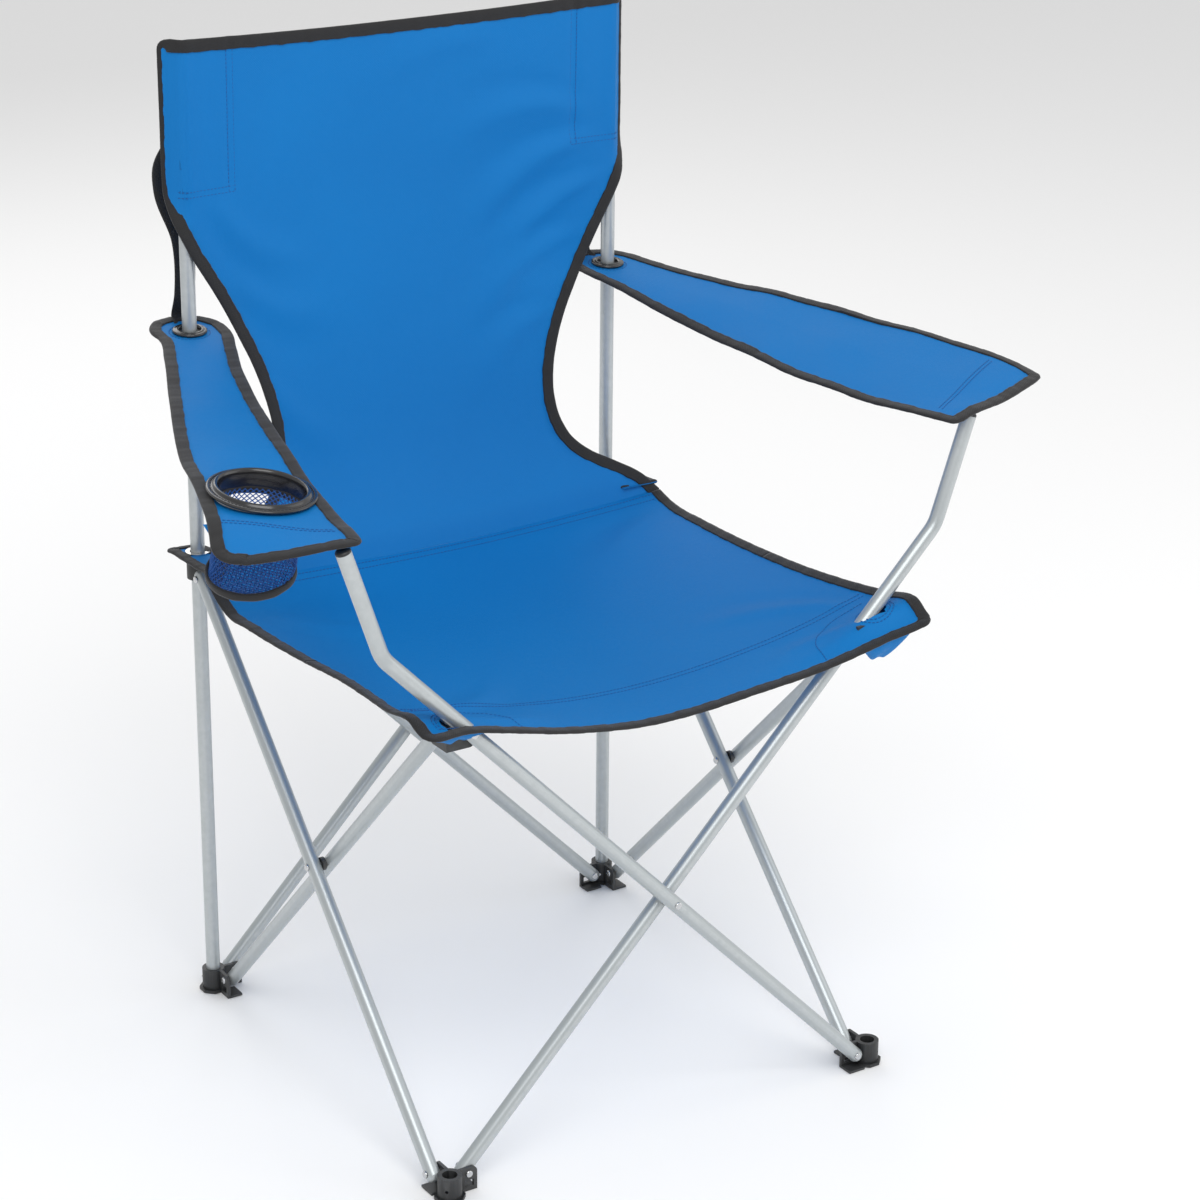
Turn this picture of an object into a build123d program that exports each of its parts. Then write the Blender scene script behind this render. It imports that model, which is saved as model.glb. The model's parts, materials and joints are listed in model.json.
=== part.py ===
"""Folding camp chair: four scissor pairs of tube on eight corner hubs, with a fabric seat, back and arms.

X runs across the chair (left is -X), the sitter faces -Y, and the feet stand on Z = 0.
"""
from build123d import *
from math import acos, atan2, cos, degrees, radians, sin, sqrt
import os

os.makedirs("parts", exist_ok=True)

# Frame sizes
tube_r = 6.5
tube_wall = 1.0
leg_pitch = 570.0  # lower pivot to upper pivot, the same on all eight legs
open_span = 400.0  # horizontal distance between those pivots with the chair open
pivot_z = 16.0  # lower pivots above the floor
leg_overhang = 8.0  # tube past its end pivot
pivot_reach = 19.5  # post axis to pivot, along the hub's wing
outer_offset = 5.7  # post axis out to the outer leg's plane
inner_offset = 11.0  # post axis in to the inner leg's plane
tube_end_round = 5.0

open_rise = sqrt(leg_pitch**2 - open_span**2)
open_angle = degrees(acos(open_span / leg_pitch))
corner = open_span / 2 + pivot_reach  # post axis from the chair's middle, in X and in Y
upper_z = pivot_z + open_rise
outer_plane = corner + outer_offset
inner_plane = corner - inner_offset

# The back and straps reach further behind the frame than the seat does in front of it
frame_shift = -5.0

# Rivets and pins
rivet_r = 2.0
rivet_head_r = 3.3
rivet_head_h = 1.6
rivet_gap = 0.05  # running clearance, radial and under the heads
spacer_r = 6.0
pin_r = 1.5

# Corner hubs
socket_r = 10.5
hub_h = 22.0
hub_base_r = 13.5
hub_base_h = 3.0
wing_in = 4.15  # wing faces, measured in from the post axis
wing_out = 1.15
wing_end = pivot_reach + 8.0
lip_h = 2.0
slide_gap = 0.06
bracket_drop = 10.0  # the front brackets sit this far lower than the rear upper hubs

# Posts and arm supports
post_top = 898.0
bend_reach = 113.0  # upper pivot to the bend of the arm support
support_length = 99.0
support_angle = 71.0
bend_r = 32.0
cap_h = 3.0

# Fabric
cloth = 3.0
back_half = 236.0
back_top = 905.0
sleeve_bottom = 770.0
sleeve_in = 176.0
waist_half = 152.0
waist_z = 560.0
seam_y = 158.0
seam_z = 446.0
seat_half = 240.0
seat_reach = 244.0
seat_rim = 434.0  # underside of the seat over the front brackets
seat_low = 392.5  # underside at the middle of the front edge
split_y = -25.0

# Armrests
arm_rear_z = 643.5
arm_front_z = 604.0
arm_end_r = 30.0
arm_cloth = 2.4
grommet_outer = 15.5
grommet_inner = 9.5
ring_outer = 44.0
ring_inner = 36.0
ring_x = -326.0
ring_y = -120.0
pouch_r = 35.5
pouch_depth = 62.0
pouch_wall = 1.5
strap_width = 20.0
strap_cloth = 1.5


def save(part, name):
    """Label one finished piece, centre it on the envelope and write its STEP file."""
    placed = part.moved(Location((0, frame_shift, 0)))
    placed.label = name
    export_step(placed, f"parts/{name}.step")


# The four sides of the frame, each turned a quarter from the front one. On every side the outer
# leg starts at the side's right-hand foot and the inner leg at its left-hand foot.
sides = {"front": 0, "right": 90, "rear": 180, "left": 270}
corners = {"front_left": 0, "front_right": 90, "rear_right": 180, "rear_left": 270}


def on_side(turn):
    """Frame of one side: X along the side, Y into the chair, Z up."""
    return Location((0, 0, 0), (0, 0, turn))


# Straight leg along +Z from its lower pivot, with its rivet holes along Y
with BuildPart() as straight_leg:
    with Locations((0, 0, leg_pitch / 2)):
        Cylinder(tube_r, leg_pitch + 2 * leg_overhang)
    fillet(straight_leg.edges().filter_by(GeomType.CIRCLE), tube_end_round)
    with Locations((0, 0, leg_pitch / 2)):
        Cylinder(tube_r - tube_wall, leg_pitch + 2 * leg_overhang - 8, mode=Mode.SUBTRACT)
    with Locations((0, 0, 0), (0, 0, leg_pitch / 2), (0, 0, leg_pitch)):
        Cylinder(rivet_r + rivet_gap, 2 * tube_r + 2, rotation=(90, 0, 0), mode=Mode.SUBTRACT)

# Front leg: the same tube carried on past its upper pivot and bent up into an arm support
with BuildPart() as bent_leg:
    with BuildLine(Plane.XZ) as leg_path:
        rise = radians(90 + open_angle - support_angle)
        bend = (0, leg_pitch + bend_reach)
        top = (
            support_length * cos(rise),
            leg_pitch + bend_reach + support_length * sin(rise),
        )
        FilletPolyline((0, -leg_overhang), bend, top, radius=bend_r)
    with BuildSketch(Plane.XY.offset(-leg_overhang)):
        Circle(tube_r)
    sweep()
    with BuildSketch(Plane.XY.offset(-leg_overhang)):
        Circle(tube_r - tube_wall)
    sweep(path=leg_path.line, mode=Mode.SUBTRACT)
    with Locations((0, 0, 0), (0, 0, leg_pitch / 2), (0, 0, leg_pitch)):
        Cylinder(rivet_r + rivet_gap, 2 * tube_r + 2, rotation=(90, 0, 0), mode=Mode.SUBTRACT)
    with Locations((0, 0, -leg_overhang + 2)):
        Cylinder(tube_r - tube_wall + 0.1, 4)
    fillet(bent_leg.edges().group_by(Axis.Z)[0], tube_end_round)

for side, turn in sides.items():
    for layer, plane_y, start, lean in (
        ("outer", -outer_plane, open_span / 2, open_angle - 90),
        ("inner", -inner_plane, -open_span / 2, 90 - open_angle),
    ):
        blank = bent_leg if side == "front" else straight_leg
        with BuildPart() as leg:
            with Locations(on_side(turn)):
                with Locations(Location((start, plane_y, pivot_z), (0, lean, 0))):
                    if layer == "outer" or side != "front":
                        add(blank.part)
                    else:
                        add(mirror(blank.part, Plane.YZ, mode=Mode.PRIVATE))
        save(leg.part, f"{side}_{layer}_leg")


# One corner hub, with its post axis on Z. The wing along X takes a leg on its inner side and the
# wing along Y takes one on its outer side. The same moulding turned over serves the upper corners.
def hub(floor):
    """Corner hub with its socket closed by a floor of this thickness, or open right through at 0."""
    with BuildPart() as body:
        with BuildSketch():
            RegularPolygon(hub_base_r, 8, rotation=22.5)
        extrude(amount=hub_base_h)
        Cylinder(socket_r, hub_h, align=(Align.CENTER, Align.CENTER, Align.MIN))
        wing = wing_in - wing_out
        with BuildSketch():
            with Locations((0, wing_out)):
                Rectangle(wing_end, wing, align=Align.MIN)
            with Locations((wing_out, 0)):
                Rectangle(wing, wing_end, align=Align.MIN)
        extrude(amount=hub_h)
        tips = body.edges().filter_by(Axis.Y).group_by(Axis.X)[-1].group_by(Axis.Z)[-1]
        fillet(tips, 5)
        tips = body.edges().filter_by(Axis.X).group_by(Axis.Y)[-1].group_by(Axis.Z)[-1]
        fillet(tips, 5)
        with BuildSketch():
            with Locations((socket_r, wing_out)):
                Rectangle(wing_end - socket_r, inner_offset + 5 - wing_out, align=Align.MIN)
            with Locations((wing_in, socket_r)):
                Rectangle(wing_in + outer_offset + 6, wing_end - socket_r, align=(Align.MAX, Align.MIN))
        extrude(amount=lip_h)
        with Locations((0, 0, floor)):
            Cylinder(
                tube_r + slide_gap,
                hub_h,
                align=(Align.CENTER, Align.CENTER, Align.MIN),
                mode=Mode.SUBTRACT,
            )
        reach = (wing_in + wing_out) / 2
        with Locations((pivot_reach, reach, pivot_z)):
            Cylinder(rivet_r + 0.02, 2 * wing, rotation=(90, 0, 0), mode=Mode.SUBTRACT)
        with Locations((reach, pivot_reach, pivot_z)):
            Cylinder(rivet_r + 0.02, 2 * wing, rotation=(0, 90, 0), mode=Mode.SUBTRACT)
        window = (wing_end - socket_r) / 2
        with Locations((socket_r + window + 1, reach, 7)):
            Box(window, 2 * wing, 6, mode=Mode.SUBTRACT)
        with Locations((reach, socket_r + window + 1, 7)):
            Box(2 * wing, window, 6, mode=Mode.SUBTRACT)
        if floor:
            with Locations(Location((0, 0, 11), (0, 0, 45))):
                Cylinder(pin_r + 0.02, 3 * socket_r, rotation=(0, 90, 0), mode=Mode.SUBTRACT)
    return body.part


def rivet(grip):
    """Rivet along +Z with its first head's underside at 0 and its second at grip."""
    with BuildPart() as body:
        Cylinder(rivet_r, grip, align=(Align.CENTER, Align.CENTER, Align.MIN))
        for level, up in ((0, Align.MAX), (grip, Align.MIN)):
            with Locations((0, 0, level)):
                Cylinder(rivet_head_r, rivet_head_h, align=(Align.CENTER, Align.CENTER, up))
        ends = body.edges().filter_by(GeomType.CIRCLE)
        fillet([ends.sort_by(Axis.Z)[0], ends.sort_by(Axis.Z)[-1]], rivet_head_h * 0.8)
    return body.part


# Bracket for the front upper corners, where a leg carries on past its pivot and leaves no room
# for a socket. Its Y wing is cut away for that leg.
with BuildPart() as front_bracket:
    with BuildSketch(Plane.XY.offset(bracket_drop)):
        with Locations((wing_out, wing_out)):
            Rectangle(wing_end - wing_out, wing_in - wing_out, align=Align.MIN)
            Rectangle(wing_in - wing_out, wing_end - wing_out, align=Align.MIN)
    extrude(amount=hub_h)
    tips = front_bracket.edges().filter_by(Axis.Y).group_by(Axis.X)[-1].group_by(Axis.Z)[-1]
    fillet(tips, 5)
    tips = front_bracket.edges().filter_by(Axis.X).group_by(Axis.Y)[-1].group_by(Axis.Z)[-1]
    fillet(tips, 5)
    with Locations((wing_out - 1, wing_in, bracket_drop)):
        Box(
            wing_in,
            inner_offset + tube_r + 1 - wing_in,
            2.5,
            align=Align.MIN,
            mode=Mode.SUBTRACT,
        )
    with Locations((pivot_reach, wing_in, pivot_z)):
        Cylinder(rivet_r + 0.02, hub_h, rotation=(90, 0, 0), mode=Mode.SUBTRACT)
    with Locations((wing_in, pivot_reach, pivot_z)):
        Cylinder(rivet_r + 0.02, hub_h, rotation=(0, 90, 0), mode=Mode.SUBTRACT)

foot_hub = hub(3.0)
upper_hub = hub(0)
near_grip = inner_offset + tube_r + rivet_gap - wing_out
far_grip = wing_in + outer_offset + tube_r + rivet_gap
with BuildPart() as end_rivets:
    with Locations(Location((pivot_reach, wing_out, pivot_z), (-90, 0, 0))):
        add(rivet(near_grip))
    with Locations(Location((wing_in, pivot_reach, pivot_z), (0, -90, 0))):
        add(rivet(far_grip))

for name, turn in corners.items():
    post_axis = Location((-corner, -corner, 0))
    with BuildPart() as piece:
        with Locations(on_side(turn)):
            with Locations(post_axis):
                add(foot_hub)
    save(piece.part, f"{name}_foot_hub")
    with BuildPart() as piece:
        with Locations(on_side(turn)):
            with Locations(post_axis):
                add(end_rivets.part)
    save(piece.part, f"{name}_foot_rivets")
    over = Location((-corner, -corner, upper_z + pivot_z), (0, 0, 90))
    with BuildPart() as piece:
        with Locations(on_side(turn)):
            with Locations(over):
                with Locations(Location((0, 0, 0), (180, 0, 0))):
                    add(front_bracket.part if "front" in name else upper_hub)
    save(piece.part, f"{name}_upper_hub")
    with BuildPart() as piece:
        with Locations(on_side(turn)):
            with Locations(over):
                with Locations(Location((0, 0, 0), (180, 0, 0))):
                    add(end_rivets.part)
    save(piece.part, f"{name}_upper_rivets")

# Centre rivet and spacer of each scissor pair
cross_z = pivot_z + open_rise / 2
cross_gap = outer_offset + inner_offset - 2 * tube_r
centre_grip = cross_gap + 4 * tube_r + 2 * rivet_gap
for side, turn in sides.items():
    with BuildPart() as piece:
        with Locations(on_side(turn)):
            with Locations(Location((0, -outer_plane - tube_r - rivet_gap, cross_z), (-90, 0, 0))):
                add(rivet(centre_grip))
    save(piece.part, f"{side}_centre_rivet")
    with BuildPart() as piece:
        with Locations(on_side(turn)):
            with Locations(Location((0, -outer_plane + tube_r + cross_gap / 2, cross_z), (90, 0, 0))):
                Cylinder(spacer_r, cross_gap - 2 * rivet_gap)
                Cylinder(rivet_r + 0.02, cross_gap, mode=Mode.SUBTRACT)
    save(piece.part, f"{side}_centre_spacer")

# Rear posts with their top caps and foot pins
for hand, side_x, turn in (("left", -corner, 270), ("right", corner, 180)):
    with BuildPart() as piece:
        with Locations((side_x, corner, 3.0)):
            Cylinder(tube_r, post_top - 3.0, align=(Align.CENTER, Align.CENTER, Align.MIN))
            Cylinder(
                tube_r - tube_wall,
                post_top - 3.0,
                align=(Align.CENTER, Align.CENTER, Align.MIN),
                mode=Mode.SUBTRACT,
            )
        with Locations(on_side(turn)):
            with Locations(Location((-corner, -corner, 11), (0, 0, 45))):
                Cylinder(pin_r + 0.02, 4 * tube_r, rotation=(0, 90, 0), mode=Mode.SUBTRACT)
    save(piece.part, f"{hand}_rear_post")
    with BuildPart() as piece:
        with Locations((side_x, corner, post_top)):
            Cylinder(tube_r, cap_h, align=(Align.CENTER, Align.CENTER, Align.MIN))
            Cylinder(
                tube_r - tube_wall - 0.05, 8, align=(Align.CENTER, Align.CENTER, Align.MAX)
            )
        fillet(piece.edges().filter_by(GeomType.CIRCLE).group_by(Axis.Z)[-1], cap_h * 0.8)
    save(piece.part, f"{hand}_post_cap")
    with BuildPart() as piece:
        with Locations(on_side(turn)):
            with Locations(Location((-corner, -corner, 11), (0, 0, 45))):
                Cylinder(pin_r, 2 * socket_r + 1.6, rotation=(0, 90, 0))
    save(piece.part, f"{hand}_post_pin")

# Plugs in the top ends of the arm supports
support_x = open_span / 2 + bend_reach * cos(radians(open_angle))
support_x += support_length * cos(radians(support_angle))
support_z = upper_z + bend_reach * sin(radians(open_angle))
support_z += support_length * sin(radians(support_angle))
for hand, plane_y, way in (("left", -outer_plane, -1), ("right", -inner_plane, 1)):
    with BuildPart() as piece:
        Cylinder(tube_r, cap_h, align=(Align.CENTER, Align.CENTER, Align.MIN))
        Cylinder(tube_r - tube_wall - 0.05, 8, align=(Align.CENTER, Align.CENTER, Align.MAX))
        fillet(piece.edges().filter_by(GeomType.CIRCLE).group_by(Axis.Z)[-1], cap_h * 0.8)
    with BuildPart() as plug:
        lean = way * (90 - support_angle)
        with Locations(Location((way * support_x, plane_y, support_z), (0, lean, 0))):
            add(piece.part)
    save(plug.part, f"{hand}_support_plug")

# Back: a hung sheet in front of the posts, with a sleeve behind it at each top corner
back_y = corner - tube_r - 1 - cloth
with BuildPart() as piece:
    with BuildSketch(Plane.YZ):
        with BuildLine():
            for face_y in (back_y, back_y + cloth):
                Line((face_y, back_top), (face_y, 690))
                Spline(
                    (face_y, 690),
                    (face_y - 5, 590),
                    (face_y - 22, 510),
                    (face_y - back_y + seam_y, seam_z),
                    tangents=((0, -1), (-0.8, -0.6)),
                )
            Line((back_y, back_top), (back_y + cloth, back_top))
            Line((seam_y, seam_z), (seam_y + cloth, seam_z))
        make_face()
    extrude(amount=seat_half, both=True)
    with BuildSketch(Plane.XZ.offset(-2 * corner)):
        with BuildLine():
            top_edge = Line((0, back_top), (back_half, back_top))
            Line(top_edge @ 1, (back_half, sleeve_bottom - 5))
            Spline(
                (back_half, sleeve_bottom - 5),
                (back_half - 27, 703),
                (waist_half + 22, 640),
                (waist_half, waist_z),
                (waist_half + 8, 492),
                (seat_half, seam_z - cloth),
                tangents=((0, -1), (0.9, -0.2)),
            )
            Line((seat_half, seam_z - cloth), (0, seam_z - cloth))
            mirror(about=Plane.YZ)
        make_face()
    extrude(amount=2 * corner + 50, mode=Mode.INTERSECT)
    for way in (-1, 1):
        middle = way * (back_half + sleeve_in) / 2
        with Locations((middle, back_y + cloth, sleeve_bottom)):
            Box(
                back_half - sleeve_in,
                2 * tube_r + 5,
                back_top - sleeve_bottom,
                align=(Align.CENTER, Align.MIN, Align.MIN),
            )
        with Locations((way * corner, corner, sleeve_bottom)):
            Cylinder(
                tube_r + 0.4,
                post_top + cap_h + 0.4 - sleeve_bottom,
                align=(Align.CENTER, Align.CENTER, Align.MIN),
                mode=Mode.SUBTRACT,
            )
save(piece.part, "back_panel")

# Seat: two halves that meet across the middle and sag between their side edges
def seat_section(y, middle_z, shoulder_z, rim_z, edge_z):
    """Cross-section of the seat cloth at one place along Y."""
    with BuildSketch(Plane.XZ.offset(-y)) as section:
        with BuildLine():
            for level in (0, cloth):
                dip = Spline(
                    (0, middle_z + level),
                    (137, shoulder_z + level),
                    (204, rim_z + level),
                    tangents=((1, 0), (1, 0.1)),
                )
                Line(dip @ 1, (seat_half + 20, edge_z + level))
            Line((0, middle_z), (0, middle_z + cloth))
            Line((seat_half + 20, edge_z), (seat_half + 20, edge_z + cloth))
        make_face()
        mirror(about=Plane.YZ)
    return section.sketch


cross_x = open_span / 2 + (seat_rim + cloth / 2 - upper_z) / sin(radians(open_angle)) * cos(
    radians(open_angle)
)
rim_y = -inner_plane + 24
with BuildPart() as piece:
    rim_section = seat_section(rim_y, seat_low, seat_low + 12, seat_rim, seat_rim + 1)
    split_section = seat_section(
        split_y - 0.3, seat_low + 1.5, seat_low + 10, seat_low + 22, seat_low + 31
    )
    extrude(rim_section, amount=seat_reach + rim_y)
    loft([rim_section, split_section])
    with BuildSketch(Plane.XY.offset(seat_low - 10)):
        with BuildLine():
            edge = Spline(
                (0, -seat_reach + 6), (seat_half + 18, -seat_reach), tangents=((1, 0), (1, -0.1))
            )
            Spline(
                edge @ 1,
                (seat_half, -seat_reach + 60),
                (seat_half - 4, split_y),
                tangents=((-0.2, 1), (0, 1)),
            )
            Line((seat_half - 4, split_y), (0, split_y))
            mirror(about=Plane.YZ)
        make_face()
    extrude(amount=80, mode=Mode.INTERSECT)
    with BuildSketch(Plane.XY.offset(seat_low - 10)):
        with Locations((-cross_x, -outer_plane), (cross_x, -inner_plane)):
            SlotOverall(30, 2 * tube_r + 2)
    extrude(amount=80, mode=Mode.SUBTRACT)
save(piece.part, "front_seat_panel")

with BuildPart() as piece:
    split_section = seat_section(
        split_y + 0.3, seat_low + 1.5, seat_low + 10, seat_low + 22, seat_low + 31
    )
    rear_section = seat_section(
        seam_y - 0.5, seam_z - 24, seam_z - 19, seam_z - 2 * cloth - 5, seam_z - 2 * cloth
    )
    loft([split_section, rear_section])
    with Locations((0, 0, seam_z)):
        Box(2 * seat_half - 4, 2 * seam_y, 200, mode=Mode.INTERSECT)
save(piece.part, "rear_seat_panel")

# Ears at the seat's rear corners, with an eyelet round each post
ear_z = upper_z + pivot_z + 0.4
for hand, way in (("left", -1), ("right", 1)):
    with BuildPart() as piece:
        with BuildSketch(Plane.XY.offset(ear_z)):
            with BuildLine():
                Polyline(
                    (way * 192, seam_y + 0.6),
                    (way * seat_half, seam_y + 0.6),
                    (way * (seat_half + 4), seat_reach),
                    (way * 202, seat_reach - 8),
                    close=True,
                )
            make_face()
            with Locations((way * corner, corner)):
                Circle(tube_r + 2.7, mode=Mode.SUBTRACT)
        extrude(amount=1.5)
    save(piece.part, f"{hand}_seat_ear")
    with BuildPart() as piece:
        with Locations((way * corner, corner, ear_z)):
            Cylinder(tube_r + 2.6, 2.9, align=(Align.CENTER, Align.CENTER, Align.MIN))
        with Locations((way * corner, corner, ear_z + 1.6)):
            Cylinder(tube_r + 4.8, 1.3, align=(Align.CENTER, Align.CENTER, Align.MIN))
        with Locations((way * corner, corner, ear_z)):
            Cylinder(
                tube_r + 0.7, 4, align=(Align.CENTER, Align.CENTER, Align.MIN), mode=Mode.SUBTRACT
            )
    save(piece.part, f"{hand}_ear_eyelet")

# Pockets that hold the front upper hubs under the seat's corners
pocket_cloth = 1.5
for hand, way in (("left", -1), ("right", 1)):
    with BuildPart() as piece:
        with BuildSketch(Plane.XY.offset(seat_rim - 24)):
            with BuildLine():
                Polyline(
                    (way * 186, -seat_half),
                    (way * seat_half, -seat_half),
                    (way * seat_half, -186),
                )
                offset(amount=pocket_cloth, side=Side.LEFT if way < 0 else Side.RIGHT)
            make_face()
        extrude(amount=23)
    save(piece.part, f"{hand}_corner_pocket")

# Armrests on a plane that falls towards the front, with grommets round the posts
arm_tilt = degrees(atan2(arm_rear_z - arm_front_z, corner + outer_plane))
arm_plane = Plane(
    origin=(0, corner, arm_rear_z),
    x_dir=(1, 0, 0),
    z_dir=(0, -sin(radians(arm_tilt)), cos(radians(arm_tilt))),
)


def along(y):
    """Distance along the armrest's plane for a place along the chair's Y."""
    return (y - corner) / cos(radians(arm_tilt))


for hand, way in (("left", -1), ("right", 1)):
    with BuildPart() as piece:
        with BuildSketch(arm_plane):
            with BuildLine():
                inner_edge = Spline(
                    (way * (corner - arm_end_r), 0),
                    (way * 245, along(34)),
                    (way * 277, along(-109)),
                    (way * 297, along(-237)),
                )
                front_edge = Line(inner_edge @ 1, (way * 405, along(-190)))
                outer_edge = Spline(
                    front_edge @ 1, (way * 352, along(-33)), (way * (corner + arm_end_r), 0)
                )
                ThreePointArc(outer_edge @ 1, (way * corner, arm_end_r), inner_edge @ 0)
            make_face()
            with Locations((way * corner, 0)):
                Circle(grommet_outer - 2.6, mode=Mode.SUBTRACT)
            if way < 0:
                with Locations((ring_x, along(ring_y))):
                    Circle(ring_inner + 1, mode=Mode.SUBTRACT)
        extrude(amount=arm_cloth)
    save(piece.part, f"{hand}_armrest")
    with BuildPart() as piece:
        with BuildSketch(arm_plane.offset(-1.6)):
            with Locations((way * corner, 0)):
                Circle(grommet_outer - 3)
        extrude(amount=arm_cloth + 3.2)
        for level in (-1.6, arm_cloth + 0.4):
            with BuildSketch(arm_plane.offset(level)):
                with Locations((way * corner, 0)):
                    Circle(grommet_outer)
            extrude(amount=1.2)
        with BuildSketch(arm_plane.offset(-3)):
            with Locations((way * corner, 0)):
                Circle(grommet_inner)
        extrude(amount=arm_cloth + 6, mode=Mode.SUBTRACT)
    save(piece.part, f"{hand}_arm_grommet")

# Cup ring and the net pouch hanging from it
with BuildPart() as piece:
    with BuildSketch(arm_plane.offset(-6)):
        with Locations((ring_x, along(ring_y))):
            Circle(ring_inner)
    extrude(amount=arm_cloth + 8)
    with BuildSketch(arm_plane.offset(arm_cloth + 0.4)):
        with Locations((ring_x, along(ring_y))):
            Circle(ring_outer)
    extrude(amount=2.4)
    with BuildSketch(arm_plane.offset(-7)):
        with Locations((ring_x, along(ring_y))):
            Circle(ring_inner - 1.6)
    extrude(amount=arm_cloth + 12, mode=Mode.SUBTRACT)
save(piece.part, "cup_ring")

with BuildPart() as piece:
    with BuildSketch(arm_plane.offset(-pouch_depth)):
        with Locations((ring_x, along(ring_y))):
            Circle(pouch_r)
    extrude(amount=pouch_depth - 6.4)
    with BuildSketch(arm_plane.offset(-pouch_depth + pouch_wall)):
        with Locations((ring_x, along(ring_y))):
            Circle(pouch_r - pouch_wall)
    extrude(amount=pouch_depth, mode=Mode.SUBTRACT)
save(piece.part, "cup_pouch")

# Webbing straps that hang the armrests' rear ends from the back of the sleeves
strap_y = corner + tube_r + 5
for hand, way in (("left", -1), ("right", 1)):
    with BuildPart() as piece:
        with BuildSketch(Plane.YZ.offset(way * corner)):
            with BuildLine():
                Polyline(
                    (corner + arm_end_r + 1.2, arm_rear_z + 1),
                    (strap_y, sleeve_bottom + 2),
                    (strap_y, sleeve_bottom + 32),
                )
                offset(amount=strap_cloth, side=Side.RIGHT)
            make_face()
        extrude(amount=strap_width / 2, both=True)
    save(piece.part, f"{hand}_arm_strap")
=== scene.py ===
import json
import math

import bpy
import numpy as np
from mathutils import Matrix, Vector


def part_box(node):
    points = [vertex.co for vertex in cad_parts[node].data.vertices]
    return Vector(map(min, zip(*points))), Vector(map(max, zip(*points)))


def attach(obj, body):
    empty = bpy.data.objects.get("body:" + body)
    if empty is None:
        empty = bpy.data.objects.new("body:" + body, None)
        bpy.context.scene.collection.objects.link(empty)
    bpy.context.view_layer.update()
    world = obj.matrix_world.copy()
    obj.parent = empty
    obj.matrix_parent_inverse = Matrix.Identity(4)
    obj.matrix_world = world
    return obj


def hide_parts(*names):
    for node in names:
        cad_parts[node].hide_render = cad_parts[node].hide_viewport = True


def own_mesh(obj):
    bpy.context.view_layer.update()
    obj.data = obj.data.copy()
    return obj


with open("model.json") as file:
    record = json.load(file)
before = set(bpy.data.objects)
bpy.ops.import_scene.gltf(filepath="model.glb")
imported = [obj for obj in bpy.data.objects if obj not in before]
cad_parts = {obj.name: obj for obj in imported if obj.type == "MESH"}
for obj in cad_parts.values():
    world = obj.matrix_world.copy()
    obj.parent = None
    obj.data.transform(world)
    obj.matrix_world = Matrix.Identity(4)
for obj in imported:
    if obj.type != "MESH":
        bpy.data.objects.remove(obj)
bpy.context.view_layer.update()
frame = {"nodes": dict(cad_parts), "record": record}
print("frame loaded:", len(frame["nodes"]), "nodes")

joined = {}  # pieces by name, for the riding at the end


def middle(node):
    low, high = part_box(node)
    return (low + high) / 2


# Places taken from the frame
postX = middle("right_rear_post").x
postY = middle("right_rear_post").y
postR = (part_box("right_rear_post")[1].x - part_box("right_rear_post")[0].x) / 2
frontY = -postX + (postY - postX)
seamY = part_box("rear_seat_panel")[1].y
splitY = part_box("front_seat_panel")[1].y
earZ = middle("left_seat_ear").z


# Mesh helpers

def smoothTable(table, x):
    # a smooth curve through the table's points
    xs, ys = np.array(sorted(table), float).T
    slopes = np.gradient(ys, xs)
    x = np.clip(np.asarray(x, float), xs[0], xs[-1])
    i = np.clip(np.searchsorted(xs, x) - 1, 0, len(xs) - 2)
    h = xs[i + 1] - xs[i]
    t = (x - xs[i]) / h
    start = (1 + 2 * t) * (1 - t) ** 2 * ys[i] + t * (1 - t) ** 2 * h * slopes[i]
    return start + t * t * (3 - 2 * t) * ys[i + 1] + t * t * (t - 1) * h * slopes[i + 1]


def curveThrough(points, count):
    # evenly spaced points on a smooth curve through a few given ones
    points = np.array(points, float)
    step = np.r_[0, np.cumsum(np.linalg.norm(np.diff(points, axis=0), axis=1))]
    fine = np.linspace(0, step[-1], count * 4)
    line = np.stack([smoothTable(list(zip(step, points[:, k])), fine) for k in range(points.shape[1])], 1)
    run = np.r_[0, np.cumsum(np.linalg.norm(np.diff(line, axis=0), axis=1))]
    even = np.linspace(0, run[-1], count)
    return np.stack([np.interp(even, run, line[:, k]) for k in range(line.shape[1])], 1)


def smoothStep(a, b, x):
    t = np.clip((x - a) / (b - a), 0, 1)
    return t * t * (3 - 2 * t)


def unit(v):
    return v / np.maximum(np.linalg.norm(v, axis=-1, keepdims=True), 1e-12)


def newPiece(name, verts, faces, uvs=None, smooth=True):
    mesh = bpy.data.meshes.new(name)
    mesh.from_pydata([tuple(map(float, v)) for v in verts], [], [tuple(map(int, f)) for f in faces])
    if uvs is not None:
        layer = mesh.uv_layers.new(name="cloth")
        corner = np.empty(len(mesh.loops), np.int32)
        mesh.loops.foreach_get("vertex_index", corner)
        layer.data.foreach_set("uv", np.asarray(uvs, np.float32)[corner].ravel())
    mesh.polygons.foreach_set("use_smooth", [smooth] * len(mesh.polygons))
    mesh.update()
    obj = bpy.data.objects.new(name, mesh)
    bpy.context.scene.collection.objects.link(obj)
    joined[name] = obj
    return obj


def gridFaces(rows, cols, closeCols=False):
    r, c = np.meshgrid(np.arange(rows - 1), np.arange(cols if closeCols else cols - 1), indexing="ij")
    r, c = r.ravel(), c.ravel()
    n = (c + 1) % cols
    return np.stack([r * cols + c, r * cols + n, (r + 1) * cols + n, (r + 1) * cols + c], 1)


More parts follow.
